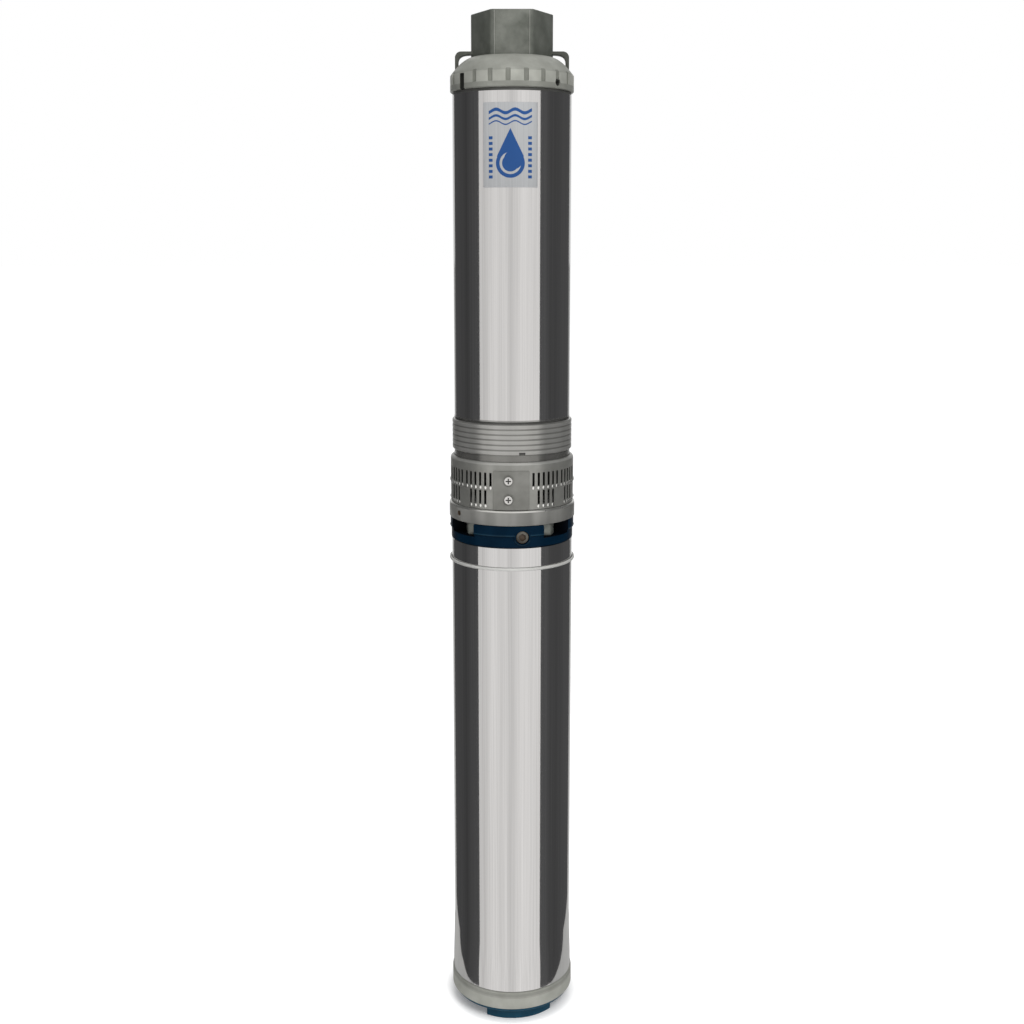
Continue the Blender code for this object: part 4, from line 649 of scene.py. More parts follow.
def make_bracket():
    """The casting between the tubes: ribbed collar, neck, four legs and the ring on the motor."""
    bore = LEG - 0.005
    pitch = (COLLAR_TOP_Z - COLLAR_Z) / 6
    ribs = []
    for i in range(6):
        low = COLLAR_TOP_Z - (i + 1) * pitch
        for share, depth in ((0.93, 0.00035), (0.84, 0.0001), (0.74, 0.0), (0.26, 0.0), (0.16, 0.0001),
                             (0.07, 0.00035)):
            ribs.append((COLLAR - depth, low + pitch * share))
    outline = [
        (0.0440, SPIGOT_TOP_Z), (0.0440, COLLAR_TOP_Z), (COLLAR - 0.0006, COLLAR_TOP_Z), *ribs,
        (COLLAR - 0.0008, COLLAR_Z), (NECK, COLLAR_Z), (NECK, COLLAR_Z - 0.0005),
        (NECK, NECK_Z - 0.0014), (LEG, NECK_Z - 0.0014), (LEG, BRACKET_TOP_Z + 0.0006),
        (BRACKET_FOOT - 0.0016, BRACKET_TOP_Z), (BRACKET_FOOT - 0.0009, BRACKET_TOP_Z - 0.0002),
        (BRACKET_FOOT - 0.0003, BRACKET_TOP_Z - 0.0007), (BRACKET_FOOT, BRACKET_TOP_Z - 0.0016),
        (BRACKET_FOOT, BRACKET_Z + 0.0005),
        (BRACKET_FOOT - 0.0005, BRACKET_Z), (0.0440, BRACKET_Z), (0.0440, PILOT_Z + 0.0006),
        (0.024, PILOT_Z + 0.0006), (0.024, BRACKET_TOP_Z), (bore, BRACKET_TOP_Z),
        (bore, SPIGOT_TOP_Z),
    ]
    bracket = turned("suction_casting", outline)
    window = block("window", (-0.017, -0.0516, BRACKET_TOP_Z + 0.003), (0.017, -bore / 2, NECK_Z - 0.0067))
    round_window = repeated(window, [45, 135, 225, 315])
    notch = block("lead_way", (-0.008, 0.021, BRACKET_Z - 0.003), (0.008, 0.06, BRACKET_TOP_Z + 0.003))
    nick = turn_to(block("rib_nick", (-0.0024, -0.0485, COLLAR_Z - 0.001),
                         (0.0024, -0.0457, COLLAR_Z + 0.0024)), RIB_NICK_TURN)
    drain_z = BRACKET_Z + 0.0062
    drain = turn_to(bar("drain", 0.0021, (0, -BRACKET_FOOT - 0.001, drain_z),
                        (0, -BRACKET_FOOT + 0.0012, drain_z), 24), DRAIN_TURN)
    carve(bracket, round_window, notch, nick, drain)
    for number in range(1, 5):
        low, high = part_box(f"mounting_stud_{number}")
        middle = (Vector(low) + Vector(high)) / 2
        carve(bracket, bar("stud_way", 0.0043, (middle.x, middle.y, PILOT_Z - 0.002),
                           (middle.x, middle.y, BRACKET_TOP_Z + 0.0005), 32))
    dress(bracket, SATIN, "bracket_steel", "suction_bracket", smooth=50)
    # Painted shade: the neck and legs under the collar are darker than the rest of the casting.
    recolour(bracket, SHADED_NECK_STEEL, lambda spot, out: spot.xy.length < NECK + 0.0001
             and BRACKET_TOP_Z < spot.z < COLLAR_Z + 0.0005)
    # Painted shade: the nick in the lowest rib is near black.
    recolour(bracket, GROOVE_SHADE, lambda spot, out: abs(angle_of(spot) - RIB_NICK_TURN) < 3.1
             and NECK - 0.0001 < spot.xy.length < COLLAR - 0.0002
             and abs(spot.z - COLLAR_Z - 0.0012) < 0.0014)
    # Painted shade: the grooves between the collar's ribs are darker than the crests.
    recolour(bracket, RIB_GROOVE_SHADE, lambda spot, out: NECK + 0.0001 < spot.xy.length < COLLAR - 0.0002
             and COLLAR_Z + 0.001 < spot.z < COLLAR_TOP_Z + 0.0003)
    # Painted reflection: the ring's outer face gets strong upright bands of tone through soft_bands.
    recolour(bracket, FOOT_STEEL, lambda spot, out: spot.xy.length > HEAD_BAND - 0.0005
             and spot.z < BRACKET_TOP_Z - 0.0014)
    recolour(bracket, RUST, lambda spot, out: abs(angle_of(spot) - DRAIN_TURN) < 2.9
             and 0.047 < spot.xy.length < BRACKET_FOOT - 0.0002 and abs(spot.z - drain_z) < 0.0022)
    # Painted highlight: the rounded top edge of the ring is lighter than the rest.
    recolour(bracket, EDGE, lambda spot, out: spot.xy.length > BRACKET_FOOT - 0.0016
             and BRACKET_TOP_Z - 0.0016 < spot.z < BRACKET_TOP_Z + 0.0003)


def in_cross(spot, out, height, face):
    """Whether a face belongs to the driver's cross in a screw head on the plate."""
    across = Matrix.Rotation(math.radians(-PLATE_SCREW_TURN), 3, "Z") @ spot
    return (abs(across.x) < 0.0022 and abs(across.z - height) < 0.0022
            and face + 0.0004 < -across.y < face + 0.00175 and (abs(across.x) < 0.00052
            or abs(across.z - height) < 0.00052))


def make_strainer():
    """Slotted sheet with small turned lips under its slots, the blank plate and its two screws."""
    inner = STRAINER - STRAINER_SHEET
    outline = [
        (STRAINER - 0.0026, NECK_Z), (STRAINER - 0.0013, NECK_Z - 0.0003),
        (STRAINER - 0.0004, NECK_Z - 0.0012), (STRAINER - 0.0001, NECK_Z - 0.0020),
        (STRAINER, NECK_Z - 0.0028), (STRAINER, STRAINER_Z),
        (inner, STRAINER_Z), (inner, NECK_Z - STRAINER_SHEET), (NECK + 0.0003, NECK_Z - STRAINER_SHEET),
        (NECK + 0.0003, NECK_Z),
    ]
    sleeve = turned("strainer_sleeve", outline)
    pitch = 360 / 11
    rows = ((6, NECK_Z - 0.0184, 0.0102), (4, STRAINER_Z + 0.004, 0.0107))
    lips = []
    for count, low, height in rows:
        angles = [
            group * pitch + (i - (count - 1) / 2) * 5.2
            for group in (1, 2, 3, 4, 7, 8, 9, 10) for i in range(count)
        ]
        slot = block("slot", (-0.00095, -STRAINER - 0.002, low), (0.00095, -STRAINER + 0.003, low + height))
        carve(sleeve, repeated(slot, angles))
        clear_selection()
        bpy.ops.mesh.primitive_uv_sphere_add(segments=16, ring_count=10, radius=0.001,
                                             location=(0, -STRAINER, low - 0.0015))
        bpy.context.object.scale = (1.25, 0.6, 1.35)
        lips.append(repeated(settle("lip"), angles))
    lip = joined("strainer_lips", lips)
    dress(sleeve, SHEET, "strainer_steel", "strainer", smooth=30)
    # Painted shade: the walls of the strainer's slots are near black.
    recolour(sleeve, RECESS_SHADE, lambda spot, out: inner + 0.0001 < spot.xy.length < STRAINER - 0.0001
             and STRAINER_Z + 0.003 < spot.z < NECK_Z - 0.004)
    # Painted highlight: the rounded top edge of the sleeve is lighter than the sheet.
    recolour(sleeve, SHEET_EDGE_HIGHLIGHT, lambda spot, out: spot.xy.length > STRAINER - 0.0012
             and spot.z > NECK_Z - 0.0021)
    # Painted highlight: the lips get a near-white finish far brighter than their sheet, so that their glints
    # show strongly.
    dress(lip, LIP_HIGHLIGHT, "strainer_steel")

    low, high = span("strainer_plate")
    radius = STRAINER + 0.0003
    draw_outline([(radius, low), (radius + 0.0008, low), (radius + 0.0008, high), (radius, high),
                  (radius, low)],
                 lambda r, z: Matrix.Rotation(math.radians(-17.1), 3, "Z") @ Vector((0, -r, z)))
    close_outline()
    bpy.ops.mesh.spin(steps=32, angle=math.radians(-32.8), center=(0, 0, 0), axis=(0, 0, 1))
    weld_and_face_out()
    plate = settle("blank_plate")
    ease_edges(plate, 0.0002, 2)
    heights = [sum(span(f"plate_screw_{number}")) / 2 for number in (1, 2)]
    for height in heights:
        dish = bar("dish", 0.0045, (0, -radius - 0.0004, height), (0, -radius - 0.003, height))
        carve(plate, turn_to(dish, PLATE_SCREW_TURN))
    dress(plate, PLATE, "strainer_steel", "strainer_plate")

    for number in (1, 2):
        low, high = span(f"plate_screw_{number}")
        height = (low + high) / 2
        face = radius + 0.0011
        head = bar("head", 0.0034, (0, -face - 0.0018, height), (0, -face, height))
        ease_edges(head, 0.0016, 6, 60)
        shank = bar("shank", 0.0019, (0, -face - 0.0002, height), (0, -0.0405, height), 24)
        fuse(head, shank)
        cross = [
            block("cross", (-wide, -face - 0.003, height - tall), (wide, -face - 0.0006, height + tall))
            for wide, tall in ((0.0021, 0.0005), (0.0005, 0.0021))
        ]
        carve(head, *cross)
        head.name = f"round_screw_{number}"
        head.data.name = head.name
        dress(turn_to(head, PLATE_SCREW_TURN), BRIGHT, "bright_steel", f"plate_screw_{number}")
        # Painted shade: the driver's cross in each screw head is near black.
        recolour(head, GROOVE_SHADE, lambda spot, out: in_cross(spot, out, height, face))


def sector_block(name, inner, outer, low, high, first, last):
    """Part of a ring between two angles around the pump."""
    turn = Matrix.Rotation(math.radians(first), 3, "Z")
    draw_outline([(inner, low), (outer, low), (outer, high), (inner, high), (inner, low)],
                 lambda r, z: turn @ Vector((0, -r, z)))
    close_outline()
    steps = max(6, round((last - first) / 2))
    bpy.ops.mesh.spin(steps=steps, angle=math.radians(first - last), center=(0, 0, 0), axis=(0, 0, 1))
    weld_and_face_out()
    return settle(name)


def make_motor_top():
    """Blue motor head with its band, pockets, plug and lead socket, and the nuts in the pockets."""
    band_z = FACE_Z - 0.0078
    ledge_z = span("shaft_seal")[0] - 0.0006 - 0.002
    outline = [
        (0.04365, PILOT_Z), (0.04365, FACE_Z), (HEAD_BAND - 0.0004, FACE_Z),
        (HEAD_BAND, FACE_Z - 0.0004), (HEAD_BAND, band_z + 0.0010), (HEAD_BAND + 0.0004, band_z + 0.0004),
        (HEAD_BAND + 0.0002, band_z), (HEAD_LOWER, band_z - 0.0003), (HEAD_LOWER, band_z - 0.0011),
        (HEAD_LOWER, MOTOR_TOP_Z + 0.0008), (HEAD_LOWER - 0.0005, MOTOR_TOP_Z + 0.0003),
        (0.0465, MOTOR_TOP_Z + 0.0003), (0.0465, HEAD_BOTTOM_Z), (0.0173, HEAD_BOTTOM_Z),
        (0.0173, ledge_z), (0.0145, ledge_z), (0.0145, ledge_z + 0.002), (0.0203, ledge_z + 0.002),
        (0.0203, PILOT_Z),
    ]
    head = turned("motor_top", outline)
    web_z = FACE_Z - 0.0006
    pocket_z = web_z - 0.0097
    for first, last in ((-73.5, -37.3), (30.3, 64.0), (107.5, 142.7), (210.3, 246.0)):
        pocket = sector_block("pocket", 0.0296, 0.058, pocket_z, web_z, first, last)
        mouth = sector_block("mouth", 0.0443, 0.058, web_z - 0.0003, PILOT_Z + 0.002, first - 0.5, last + 0.5)
        carve(head, pocket, mouth)
    plug_z = FACE_Z - 0.0087
    plug_boss = bar("plug_boss", 0.0066, (0, -0.0465, plug_z), (0, -0.0492, plug_z))
    turn_to(ease_edges(plug_boss, 0.0006, 2, 60), FILL_PLUG_TURN)
    fuse(head, plug_boss)
    plug_way = bar("plug_way", 0.0053, (0, -0.0421, plug_z), (0, -0.055, plug_z))
    carve(head, turn_to(plug_way, FILL_PLUG_TURN))
    low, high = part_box("lead_socket")
    place = Vector((0, (low[1] + high[1]) / 2, 0))
    carve(head, bar("lead_way", 0.0073, place + Vector((0, 0, PILOT_Z - 0.0123)),
                    place + Vector((0, 0, PILOT_Z + 0.01))))
    studs = []
    for number in range(1, 5):
        low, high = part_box(f"mounting_stud_{number}")
        middle = (Vector(low) + Vector(high)) / 2
        studs.append((number, middle, math.degrees(math.atan2(middle.x, -middle.y))))
        carve(head, bar("stud_way", 0.0043, (middle.x, middle.y, web_z - 0.005),
                        (middle.x, middle.y, PILOT_Z + 0.001), 32))
    dress(head, BLUE, "blue_enamel", "motor_head", smooth=40)
    # Painted highlight: the bead under the band is a lighter blue.
    recolour(head, BLUE_EDGE_HIGHLIGHT, lambda spot, out: spot.xy.length > HEAD_BAND + 0.0001
             and band_z < spot.z < band_z + 0.0010)
    # Painted shade: the inner faces of the nut pockets are near black.
    recolour(head, POCKET_SHADE, lambda spot, out: spot.xy.length < HEAD_LOWER - 0.0004
             and pocket_z - 0.0002 < spot.z < FACE_Z - 0.0002 and spot.xy.length > 0.0206)

    def from_plug(spot):
        turn = math.radians(angle_of(spot) - FILL_PLUG_TURN)
        return math.hypot(spot.xy.length * math.sin(turn), spot.z - plug_z)

    # Painted highlight: a lighter blue ring on the lower edge of the plug boss.
    recolour(head, BLUE_EDGE_HIGHLIGHT, lambda spot, out: spot.z < plug_z - 0.002 and spot.xy.length > HEAD_LOWER
             and 0.0059 < from_plug(spot) < 0.0068)

    plug = bar("pump_plug", 0.005, (0, -0.0424, plug_z), (0, -0.0484, plug_z))
    ease_edges(plug, 0.0006, 3, 60)
    socket = bar("plug_socket", 0.0030, (0, -0.0459, plug_z), (0, -0.055, plug_z), 6)
    dress(turn_to(carve(plug, socket), FILL_PLUG_TURN), PLUG, "plug_brass", "fill_plug")
    recolour(plug, RUST, lambda spot, out: 0.0455 < spot.xy.length < 0.0474
             and abs(spot.z - plug_z) < 0.0031)

    for number, middle, angle in studs:
        low, high = span(f"stud_nut_{number}")
        nut = hexagon(f"pocket_nut_{number}", 0.0127, low, high, 0.0)
        ease_edges(nut, 0.0005, 2)
        carve(nut, bar("thread", 0.0042, (0, 0, low - 0.01), (0, 0, high + 0.01), 32))
        nut.data.transform(Matrix.Translation((0, -STUD_CIRCLE, 0)))
        dress(turn_to(nut, angle), NUT, "bright_steel", f"stud_nut_{number}")


def make_wire_ring():
    """Open wire ring that grips the motor tube, with its gap at the back."""
    low, high = span("retaining_wire_ring")
    clear_selection()
    bpy.ops.mesh.primitive_torus_add(major_radius=0.04896, minor_radius=0.00093,
                                     major_segments=192, minor_segments=16)
    bpy.context.object.scale.z = 1.3
    bpy.context.object.location.z = (low + high) / 2
    wire = settle("wire_ring")
    carve(wire, block("wire_gap", (-0.0018, 0.04, low - 0.01), (0.0018, 0.06, high + 0.01)))
    dress(wire, WIRE, "bright_steel", "retaining_wire_ring", smooth=50)


def make_base():
    """Olive ring under the motor tube, and the blue lid with its two arc-shaped feet."""
    web_z = BASE_Z + 0.0175
    outline = [
        (0.0465, BELL_TOP_Z), (0.0465, BASE_TOP_Z), (BASE_RING - 0.0011, BASE_TOP_Z),
        (BASE_RING - 0.0004, BASE_TOP_Z - 0.0004), (BASE_RING, BASE_TOP_Z - 0.0012),
        (BASE_RING, BASE_TOP_Z - 0.0036), (BASE_RING, BASE_TOP_Z - 0.0050),
        (BASE_RING, BASE_Z + 0.0007), (BASE_RING - 0.0007, BASE_Z), (0.0383, BASE_Z),
        (0.0383, web_z), (0.004, web_z), (0.004, web_z + 0.008), (0.043, web_z + 0.008),
        (0.043, BELL_TOP_Z),
    ]
    ring = turned("base_ring", outline)
    dress(ring, OLIVE, "cast_base", "lower_end_bell", smooth=40)
    # Painted shade: the top of the ring, under the motor tube, darkens in two steps.
    recolour(ring, OLIVE_BAND_SHADE, lambda spot, out: spot.xy.length > BASE_RING - 0.0012
             and BASE_TOP_Z - 0.0051 < spot.z)
    recolour(ring, OLIVE_SEAM_SHADE, lambda spot, out: spot.xy.length > BASE_RING - 0.0001
             and BASE_TOP_Z - 0.0037 < spot.z < BASE_TOP_Z - 0.0011)

    lid_z = FOOT_Z + 0.0106
    outline = [
        (LID - 0.0004, LID_TOP_Z), (LID, LID_TOP_Z - 0.0004), (LID, lid_z + 0.0004),
        (LID - 0.0004, lid_z), (0.006, lid_z), (0.006, LID_TOP_Z),
    ]
    lid = turned("foot_cover", outline)
    for first in (-31.0, 149.0):
        foot = sector_block("foot", 0.031, 0.0405, FOOT_Z, lid_z + 0.001, first, first + 83.0)
        ease_edges(foot, 0.0007, 3, 60)
        fuse(lid, foot)
    dress(lid, FOOT_BLUE, "blue_enamel", "bottom_cover", smooth=40)


def label_ink():
    """Silver foil with generic blue waves over a drop, and a ladder of marks at either side."""
    material = bpy.data.materials.new("label_print")
    material.use_nodes = True
    tree = material.node_tree
    shader = tree.nodes["Principled BSDF"]
    shader.inputs["Roughness"].default_value = 0.42
    shader.inputs["Metallic"].default_value = 0.35
    where = tree.nodes.new("ShaderNodeTexCoord")
    parts = tree.nodes.new("ShaderNodeSeparateXYZ")
    tree.links.new(where.outputs["Object"], parts.inputs["Vector"])

    def plug_in(socket, value):
        if isinstance(value, (int, float)):
            socket.default_value = value
        else:
            tree.links.new(value, socket)

    def work(operation, first, second=0.0, third=0.0):
        step = tree.nodes.new("ShaderNodeMath")
        step.operation = operation
        for socket, value in zip(step.inputs, (first, second, third)):
            plug_in(socket, value)
        return step.outputs[0]

    low, high = span("label_plate")
    across = work("MULTIPLY", parts.outputs["X"], 1000.0)
    up = work("MULTIPLY", work("SUBTRACT", parts.outputs["Z"], (low + high) / 2), 1000.0)

    def within(value, centre, half):
        return work("LESS_THAN", work("ABSOLUTE", work("SUBTRACT", value, centre)), half)

    def both(first, second):
        return work("MULTIPLY", first, second)

    def either(first, second):
        return work("MAXIMUM", first, second)

    def without(first, second):
        return work("MULTIPLY", first, work("SUBTRACT", 1.0, second))

    middle = -1.2
    shifted = work("SUBTRACT", across, middle)
    wave = work("MULTIPLY", work("SINE", work("MULTIPLY", shifted, 0.45)), 1.3)
    crest = work("SUBTRACT", up, wave)
    waves = both(either(within(crest, 24.0, 1.2), either(within(crest, 19.6, 0.9), within(crest, 15.8, 0.5))),
                 within(across, middle, 15.8))
    drop_z = -13.0
    below = work("SUBTRACT", up, drop_z)
    distance = work("SQRT", work("ADD", work("MULTIPLY", shifted, shifted), work("MULTIPLY", below, below)))
    bowl = work("LESS_THAN", distance, 10.6)
    slope = work("MULTIPLY", work("SUBTRACT", 12.0, up), 0.4926)
    cone = both(work("LESS_THAN", work("ABSOLUTE", shifted), slope), work("GREATER_THAN", up, -8.32))
    drop = either(bowl, cone)
    gleam_x = work("SUBTRACT", shifted, 2.2)
    gleam_z = work("SUBTRACT", up, -10.6)
    gleam = work("SQRT", work("ADD", work("MULTIPLY", gleam_x, gleam_x), work("MULTIPLY", gleam_z, gleam_z)))
    crescent = both(within(distance, 7.0, 0.9), work("GREATER_THAN", gleam, 6.9))
    drop = without(drop, crescent)
    steps = work("LESS_THAN", work("FRACT", work("MULTIPLY", work("ADD", up, 60.0), 0.25)), 0.55)
    sides = within(work("ABSOLUTE", shifted), 14.4, 1.4)
    ladder = both(both(steps, sides), within(up, -8.0, 16.0))
    ink = either(either(drop, waves), ladder)

    foil = tree.nodes.new("ShaderNodeGroup")
    foil.node_tree = GRAIN
    silver = mixed_colours(tree, (0.33, 0.34, 0.35), (0.49, 0.50, 0.51))
    tree.links.new(foil.outputs["Tone"], silver.inputs["Factor"])
    print_on = tree.nodes.new("ShaderNodeMix")
    print_on.data_type = "RGBA"
    print_on.inputs["B"].default_value = (0.012, 0.07, 0.24, 1)
    tree.links.new(ink, print_on.inputs["Factor"])
    tree.links.new(silver.outputs["Result"], print_on.inputs["A"])
    tree.links.new(print_on.outputs["Result"], shader.inputs["Base Color"])
    return material


def make_label():
    low, high = span("label_plate")
    label = sector_block("label_sheet", PUMP_TUBE + 0.0003, PUMP_TUBE + 0.0007, low, high, -27.2, 24.1)
    ease_edges(label, 0.00012, 2)
    dress(label, label_ink(), "label_foil", "label_plate")


def spring(node):
    """A coil of wire on a helix, as tall and wide as the spring's solid; a still mesh on no body."""
    low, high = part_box(node)
    wire = 0.0004
    turns = 3
    clear_selection()
    bpy.ops.mesh.primitive_circle_add(vertices=10, radius=wire, fill_type="NGON",
                                      location=(high[0] - wire, 0, low[2] + wire),
                                      rotation=(math.pi / 2, 0, 0))
    settle(node + "_coil")
    bpy.ops.object.modifier_add(type="SCREW")
    step = bpy.context.object.modifiers[-1]
    step.angle = math.tau * turns
    step.screw_offset = high[2] - low[2] - 2 * wire
    step.steps = 32 * turns
    step.render_steps = 32 * turns
    bpy.ops.object.modifier_apply(modifier=step.name)
    bpy.ops.object.mode_set(mode="EDIT")
    bpy.ops.mesh.select_all(action="SELECT")
    bpy.ops.mesh.remove_doubles(threshold=0.00001)
    bpy.ops.mesh.fill_holes(sides=0)
    weld_and_face_out()
    coil = settle(node + "_coil")
    dress(coil, SHAFT, "shaft_steel", node, smooth=50, body=None)
    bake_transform(coil)


def make_soft_inside():
    """Both springs and the rubber diaphragm, as still meshes on no body; in the pump they give way as the
    valve and the equaliser move.
    """
    spring("valve_spring")
    spring("diaphragm_spring")
    low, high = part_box("diaphragm")
    outer = high[0]
    base, top = low[2], high[2]
    rim = 0.0022
    sheet = 0.0014
    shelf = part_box("diaphragm_plate")[1][0] + 2 * rim
    outline = [(0, top), (shelf, top)]
    for i in range(1, 8):
        share = i / 8
        outline.append((shelf + (outer - 2 * rim - shelf) * share,
                        top + (base + rim - top) * (1 - math.cos(math.pi * share)) / 2))
    outline += [(outer - 2 * rim, base + rim), (outer - 0.0004, base + rim), (outer, base + rim - 0.0004),
                (outer, base + 0.0004), (outer - 0.0004, base), (outer - 2 * rim, base)]
    for i in range(7, 0, -1):
        share = i / 8
        outline.append((shelf + (outer - 2 * rim - shelf) * share,
                        top - sheet + (base - top + sheet) * (1 - math.cos(math.pi * share)) / 2))
    outline += [(shelf, top - sheet), (0, top - sheet)]
    rubber = turned("rolling_diaphragm", outline, 96)
    dress(rubber, RUBBER, "rubber", "diaphragm", smooth=50, body=None)
    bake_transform(rubber)


def finish_inner_nodes():
    """Better surfaces on the solids that stay."""
    surfaces = {
        SHAFT: ["pump_shaft", "motor_shaft", "shaft_coupling", "shaft_sleeve", "bearing_sleeve",
                "shaft_nut", "thrust_runner", "diaphragm_plate",
                "mounting_stud_1", "mounting_stud_2", "mounting_stud_3", "mounting_stud_4"],
        CASTING: ["top_bearing_spider", "valve_guide", "lower_bearing_bracket"],
        IRON: ["stator_core", "rotor_core"],
        COPPER: ["upper_winding", "lower_winding"],
        CARBON: ["upper_bearing_bush", "lower_bearing_bush", "thrust_pad_ring"],
        RUBBER: ["valve_seat", "top_bearing_bush", "shaft_seal", "sand_slinger", "lead_socket"],
        RESIN: ["check_valve", *(f"diffuser_{i}" for i in range(1, 6)),
                *(f"impeller_{i}" for i in range(1, 6))],
    }
    for material, nodes in surfaces.items():
        for name in nodes:
            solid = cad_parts[name]
            for slot in solid.material_slots:
                slot.material = material


def seen_in_polish_only(card):
    """Leaves a card to the polished surfaces alone."""
    card.visible_camera = False
    card.visible_diffuse = False
    card.visible_shadow = False
    card.visible_transmission = False
    card.visible_volume_scatter = False
    return card


# Radii of the front card and of the inner edge of its flap
CARD = 0.105
FLAP = 0.056


def arc(radius, angles):
    """Points around the pump seen from above, at angles from its front."""
    return [(radius * math.sin(math.radians(angle)), -radius * math.cos(math.radians(angle)))
            for angle in angles]


def curved_card(name, path, height, material):
    """An upright card that stands on the floor and follows a path seen from above."""
    draw_outline(path, lambda x, y: (x, y, 0))
    bpy.ops.mesh.extrude_region_move(TRANSFORM_OT_translate={"value": (0, 0, height)})
    card = settle(name)
    card.data.materials.append(material)
    return seen_in_polish_only(card)


def flap_card(name, outline, material):
    """A flat card on the floor in front of an upright one, so that no gap shows in the polish."""
    draw_outline([*outline, outline[0]], lambda x, y: (x, y, 0.0004))
    close_outline()
    card = settle(name)
    card.data.materials.append(material)
    return seen_in_polish_only(card)


def around_front(name, levels, tint, spread):
    """Emission that varies with the angle about the pump, counted from its front."""
    material = bpy.data.materials.new(name)
    material.use_nodes = True
    tree = material.node_tree
    tree.nodes.clear()
    where = tree.nodes.new("ShaderNodeTexCoord")
    parts = tree.nodes.new("ShaderNodeSeparateXYZ")
    tree.links.new(where.outputs["Object"], parts.inputs["Vector"])
    ahead = tree.nodes.new("ShaderNodeMath")
    ahead.operation = "MULTIPLY"
    ahead.inputs[1].default_value = -1.0
    tree.links.new(parts.outputs["Y"], ahead.inputs[0])
    turn = tree.nodes.new("ShaderNodeMath")
    turn.operation = "ARCTAN2"
    tree.links.new(parts.outputs["X"], turn.inputs[0])
    tree.links.new(ahead.outputs[0], turn.inputs[1])
    share = tree.nodes.new("ShaderNodeMapRange")
    share.inputs["From Min"].default_value = math.radians(-spread)
    share.inputs["From Max"].default_value = math.radians(spread)
    tree.links.new(turn.outputs[0], share.inputs["Value"])
    ramp = tree.nodes.new("ShaderNodeValToRGB")
    stops = ramp.color_ramp.elements
    while len(stops) < len(levels):
        stops.new(0.5)
    for stop, (angle, level) in zip(stops, levels):
        stop.position = (angle + spread) / (2 * spread)
        stop.color = (level * tint[0], level * tint[1], level * tint[2], 1)
    tree.links.new(share.outputs["Result"], ramp.inputs["Fac"])
    light = tree.nodes.new("ShaderNodeEmission")
    light.inputs["Strength"].default_value = 1.0
    tree.links.new(ramp.outputs["Color"], light.inputs["Color"])
    result = tree.nodes.new("ShaderNodeOutputMaterial")
    tree.links.new(light.outputs[0], result.inputs["Surface"])
    return material


def ray_level(tree, on_camera, on_glossy, otherwise):
    """A number that depends on who looks: the camera, a polished surface or anything else."""
    paths = tree.nodes.new("ShaderNodeLightPath")
    shown = None
    for outlet, amount in (("Is Camera Ray", on_camera), ("Is Transmission Ray", on_camera),
                           ("Is Glossy Ray", on_glossy)):
        part = tree.nodes.new("ShaderNodeMath")
        part.operation = "MULTIPLY"
        part.inputs[1].default_value = amount - otherwise
        tree.links.new(paths.outputs[outlet], part.inputs[0])
        total = tree.nodes.new("ShaderNodeMath")
        total.operation = "ADD"
        total.inputs[1].default_value = otherwise
        tree.links.new(part.outputs[0], total.inputs[0])
        if shown:
            tree.links.new(shown, total.inputs[1])
        shown = total.outputs[0]
    return shown


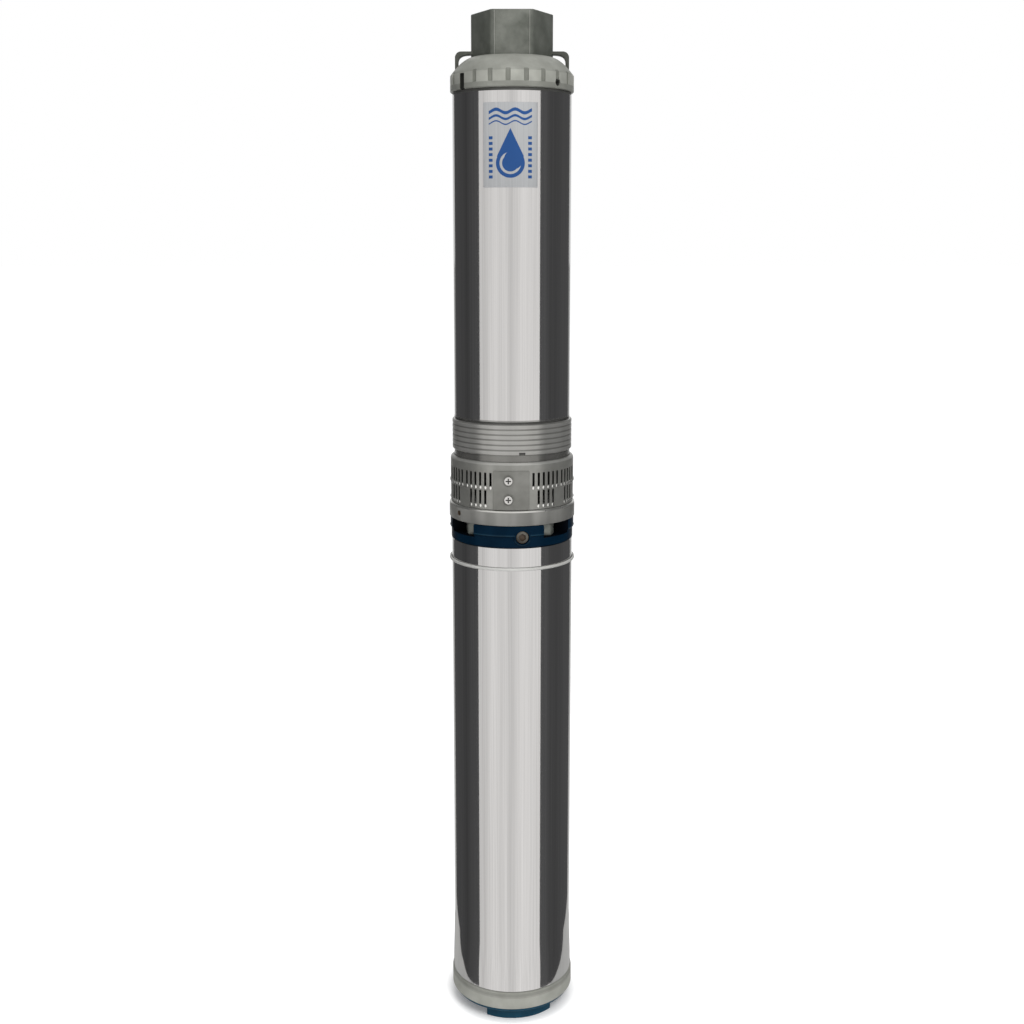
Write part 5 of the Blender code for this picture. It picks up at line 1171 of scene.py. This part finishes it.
def make_studio():
    clear_selection()
    bpy.ops.mesh.primitive_plane_add(size=60, location=(0, 0, 0))
    floor = bpy.context.object
    floor.name = "floor"
    material = bpy.data.materials.new("floor_paper")
    material.use_nodes = True
    tree = material.node_tree
    paper = tree.nodes["Principled BSDF"]
    paper.inputs["Roughness"].default_value = 0.9
    paper.inputs["Specular IOR Level"].default_value = 0.0
    paper.inputs["Emission Color"].default_value = (1, 1, 1, 1)
    paths = tree.nodes.new("ShaderNodeLightPath")
    # Painted reflection: the floor shows darker to polished surfaces than to anything else.
    tint = mixed_colours(tree, (0.90, 0.90, 0.90), (0.62, 0.62, 0.61))
    tree.links.new(paths.outputs["Is Glossy Ray"], tint.inputs["Factor"])
    tree.links.new(tint.outputs["Result"], paper.inputs["Base Color"])
    where = tree.nodes.new("ShaderNodeTexCoord")
    away = tree.nodes.new("ShaderNodeVectorMath")
    away.operation = "DISTANCE"
    away.inputs[1].default_value = (0.0, 0.008, 0.0)
    # Painted shadow: the floor's glow for the camera fades near the pump, so that the floor is darker around
    # its base.
    painted_shadow = tree.nodes.new("ShaderNodeMapRange")
    painted_shadow.interpolation_type = "SMOOTHSTEP"
    painted_shadow.inputs["From Min"].default_value = 0.044
    painted_shadow.inputs["From Max"].default_value = 0.064
    painted_shadow.inputs["To Min"].default_value = 0.13
    painted_shadow.inputs["To Max"].default_value = 0.62
    lift = tree.nodes.new("ShaderNodeMath")
    lift.operation = "MULTIPLY"
    tree.links.new(where.outputs["Object"], away.inputs[0])
    tree.links.new(away.outputs["Value"], painted_shadow.inputs["Value"])
    tree.links.new(painted_shadow.outputs["Result"], lift.inputs[0])
    tree.links.new(paths.outputs["Is Camera Ray"], lift.inputs[1])
    tree.links.new(lift.outputs[0], paper.inputs["Emission Strength"])
    floor.data.materials.append(material)

    world = bpy.data.worlds.new("studio")
    bpy.context.scene.world = world
    world.use_nodes = True
    tree = world.node_tree
    back = tree.nodes["Background"]
    back.inputs["Color"].default_value = (1, 1, 1, 1)
    tree.links.new(ray_level(tree, 1.0, 0.62, 0.52), back.inputs["Strength"])

    for name, place, size, energy in (
        ("key_light", (0.45, -1.6, 1.7), 0.8, 24.0),
        ("top_light", (0.0, -0.1, 2.3), 1.0, 7.0),
    ):
        data = bpy.data.lights.new(name, "AREA")
        data.size = size
        data.energy = energy
        lamp = bpy.data.objects.new(name, data)
        bpy.context.scene.collection.objects.link(lamp)
        lamp.location = place
        aim = Vector((0, 0, 0.45)) - Vector(place)
        lamp.rotation_euler = aim.to_track_quat("-Z", "Y").to_euler()
        lamp.visible_glossy = False

    front = arc(CARD, range(-60, 61, 3))
    levels = [(-60, 0.82), (-53, 0.86), (-44, 0.79), (-34, 0.94), (-28, 1.02), (-18, 0.94), (-9, 0.99),
              (-2, 0.82), (4, 0.90), (12, 1.04), (20, 1.04), (30, 0.98), (45, 0.97)]
    curved_card("front_card", front, 1.1, around_front("front_card", levels, (1, 0.985, 0.975), 60))
    inner = [(FLAP * x / CARD, FLAP * y / CARD) for x, y in reversed(front)]
    flap_card("front_flap", [*front, *inner], around_front("front_flap", levels, (1, 0.985, 0.975), 60))
    left = [(-0.071, -0.059), (-0.092, -0.027), (-0.116, 0), (-0.140, 0.061), (-0.142, 0.142)]
    levels = [(-135, 0.08), (-113, 0.076), (-94, 0.075), (-78, 0.06), (-65, 0.085), (-56, 0.094), (-51, 0.10)]
    curved_card("left_card", left, 1.1, around_front("left_card", levels, (1, 1, 1.02), 180))
    right = [(0.0626, -0.069), (0.0836, -0.041), (0.105, -0.018), (0.122, 0.007), (0.145, 0.052),
             (0.145, 0.142)]
    levels = [(46.5, 0.108), (52, 0.105), (59, 0.081), (74, 0.075), (99, 0.09), (113, 0.09)]
    behind = arc(0.16, range(142, 219, 4))
    even = [(-180, 0.95), (180, 0.95)]
    curved_card("back_card", behind, 1.1, around_front("back_card", even, (1, 1, 1), 180))
    curved_card("right_card", right, 1.1, around_front("right_card", levels, (1, 1, 1.02), 180))


def make_camera():
    data = bpy.data.cameras.new("camera")
    data.lens = 47.11
    data.sensor_width = 36.0
    data.shift_y = -0.045
    data.clip_start = 0.01
    camera = bpy.data.objects.new("camera", data)
    bpy.context.scene.collection.objects.link(camera)
    camera.location = (0, -1.0491, 0.6304)
    camera.rotation_euler = (math.radians(80.4), 0, 0)
    bpy.context.scene.camera = camera


bpy.context.scene.view_settings.view_transform = "Standard"
make_camera()
make_tubes()
make_outlet()
make_bracket()
make_strainer()
make_motor_top()
make_wire_ring()
make_base()
make_label()
make_soft_inside()
finish_inner_nodes()
make_studio()
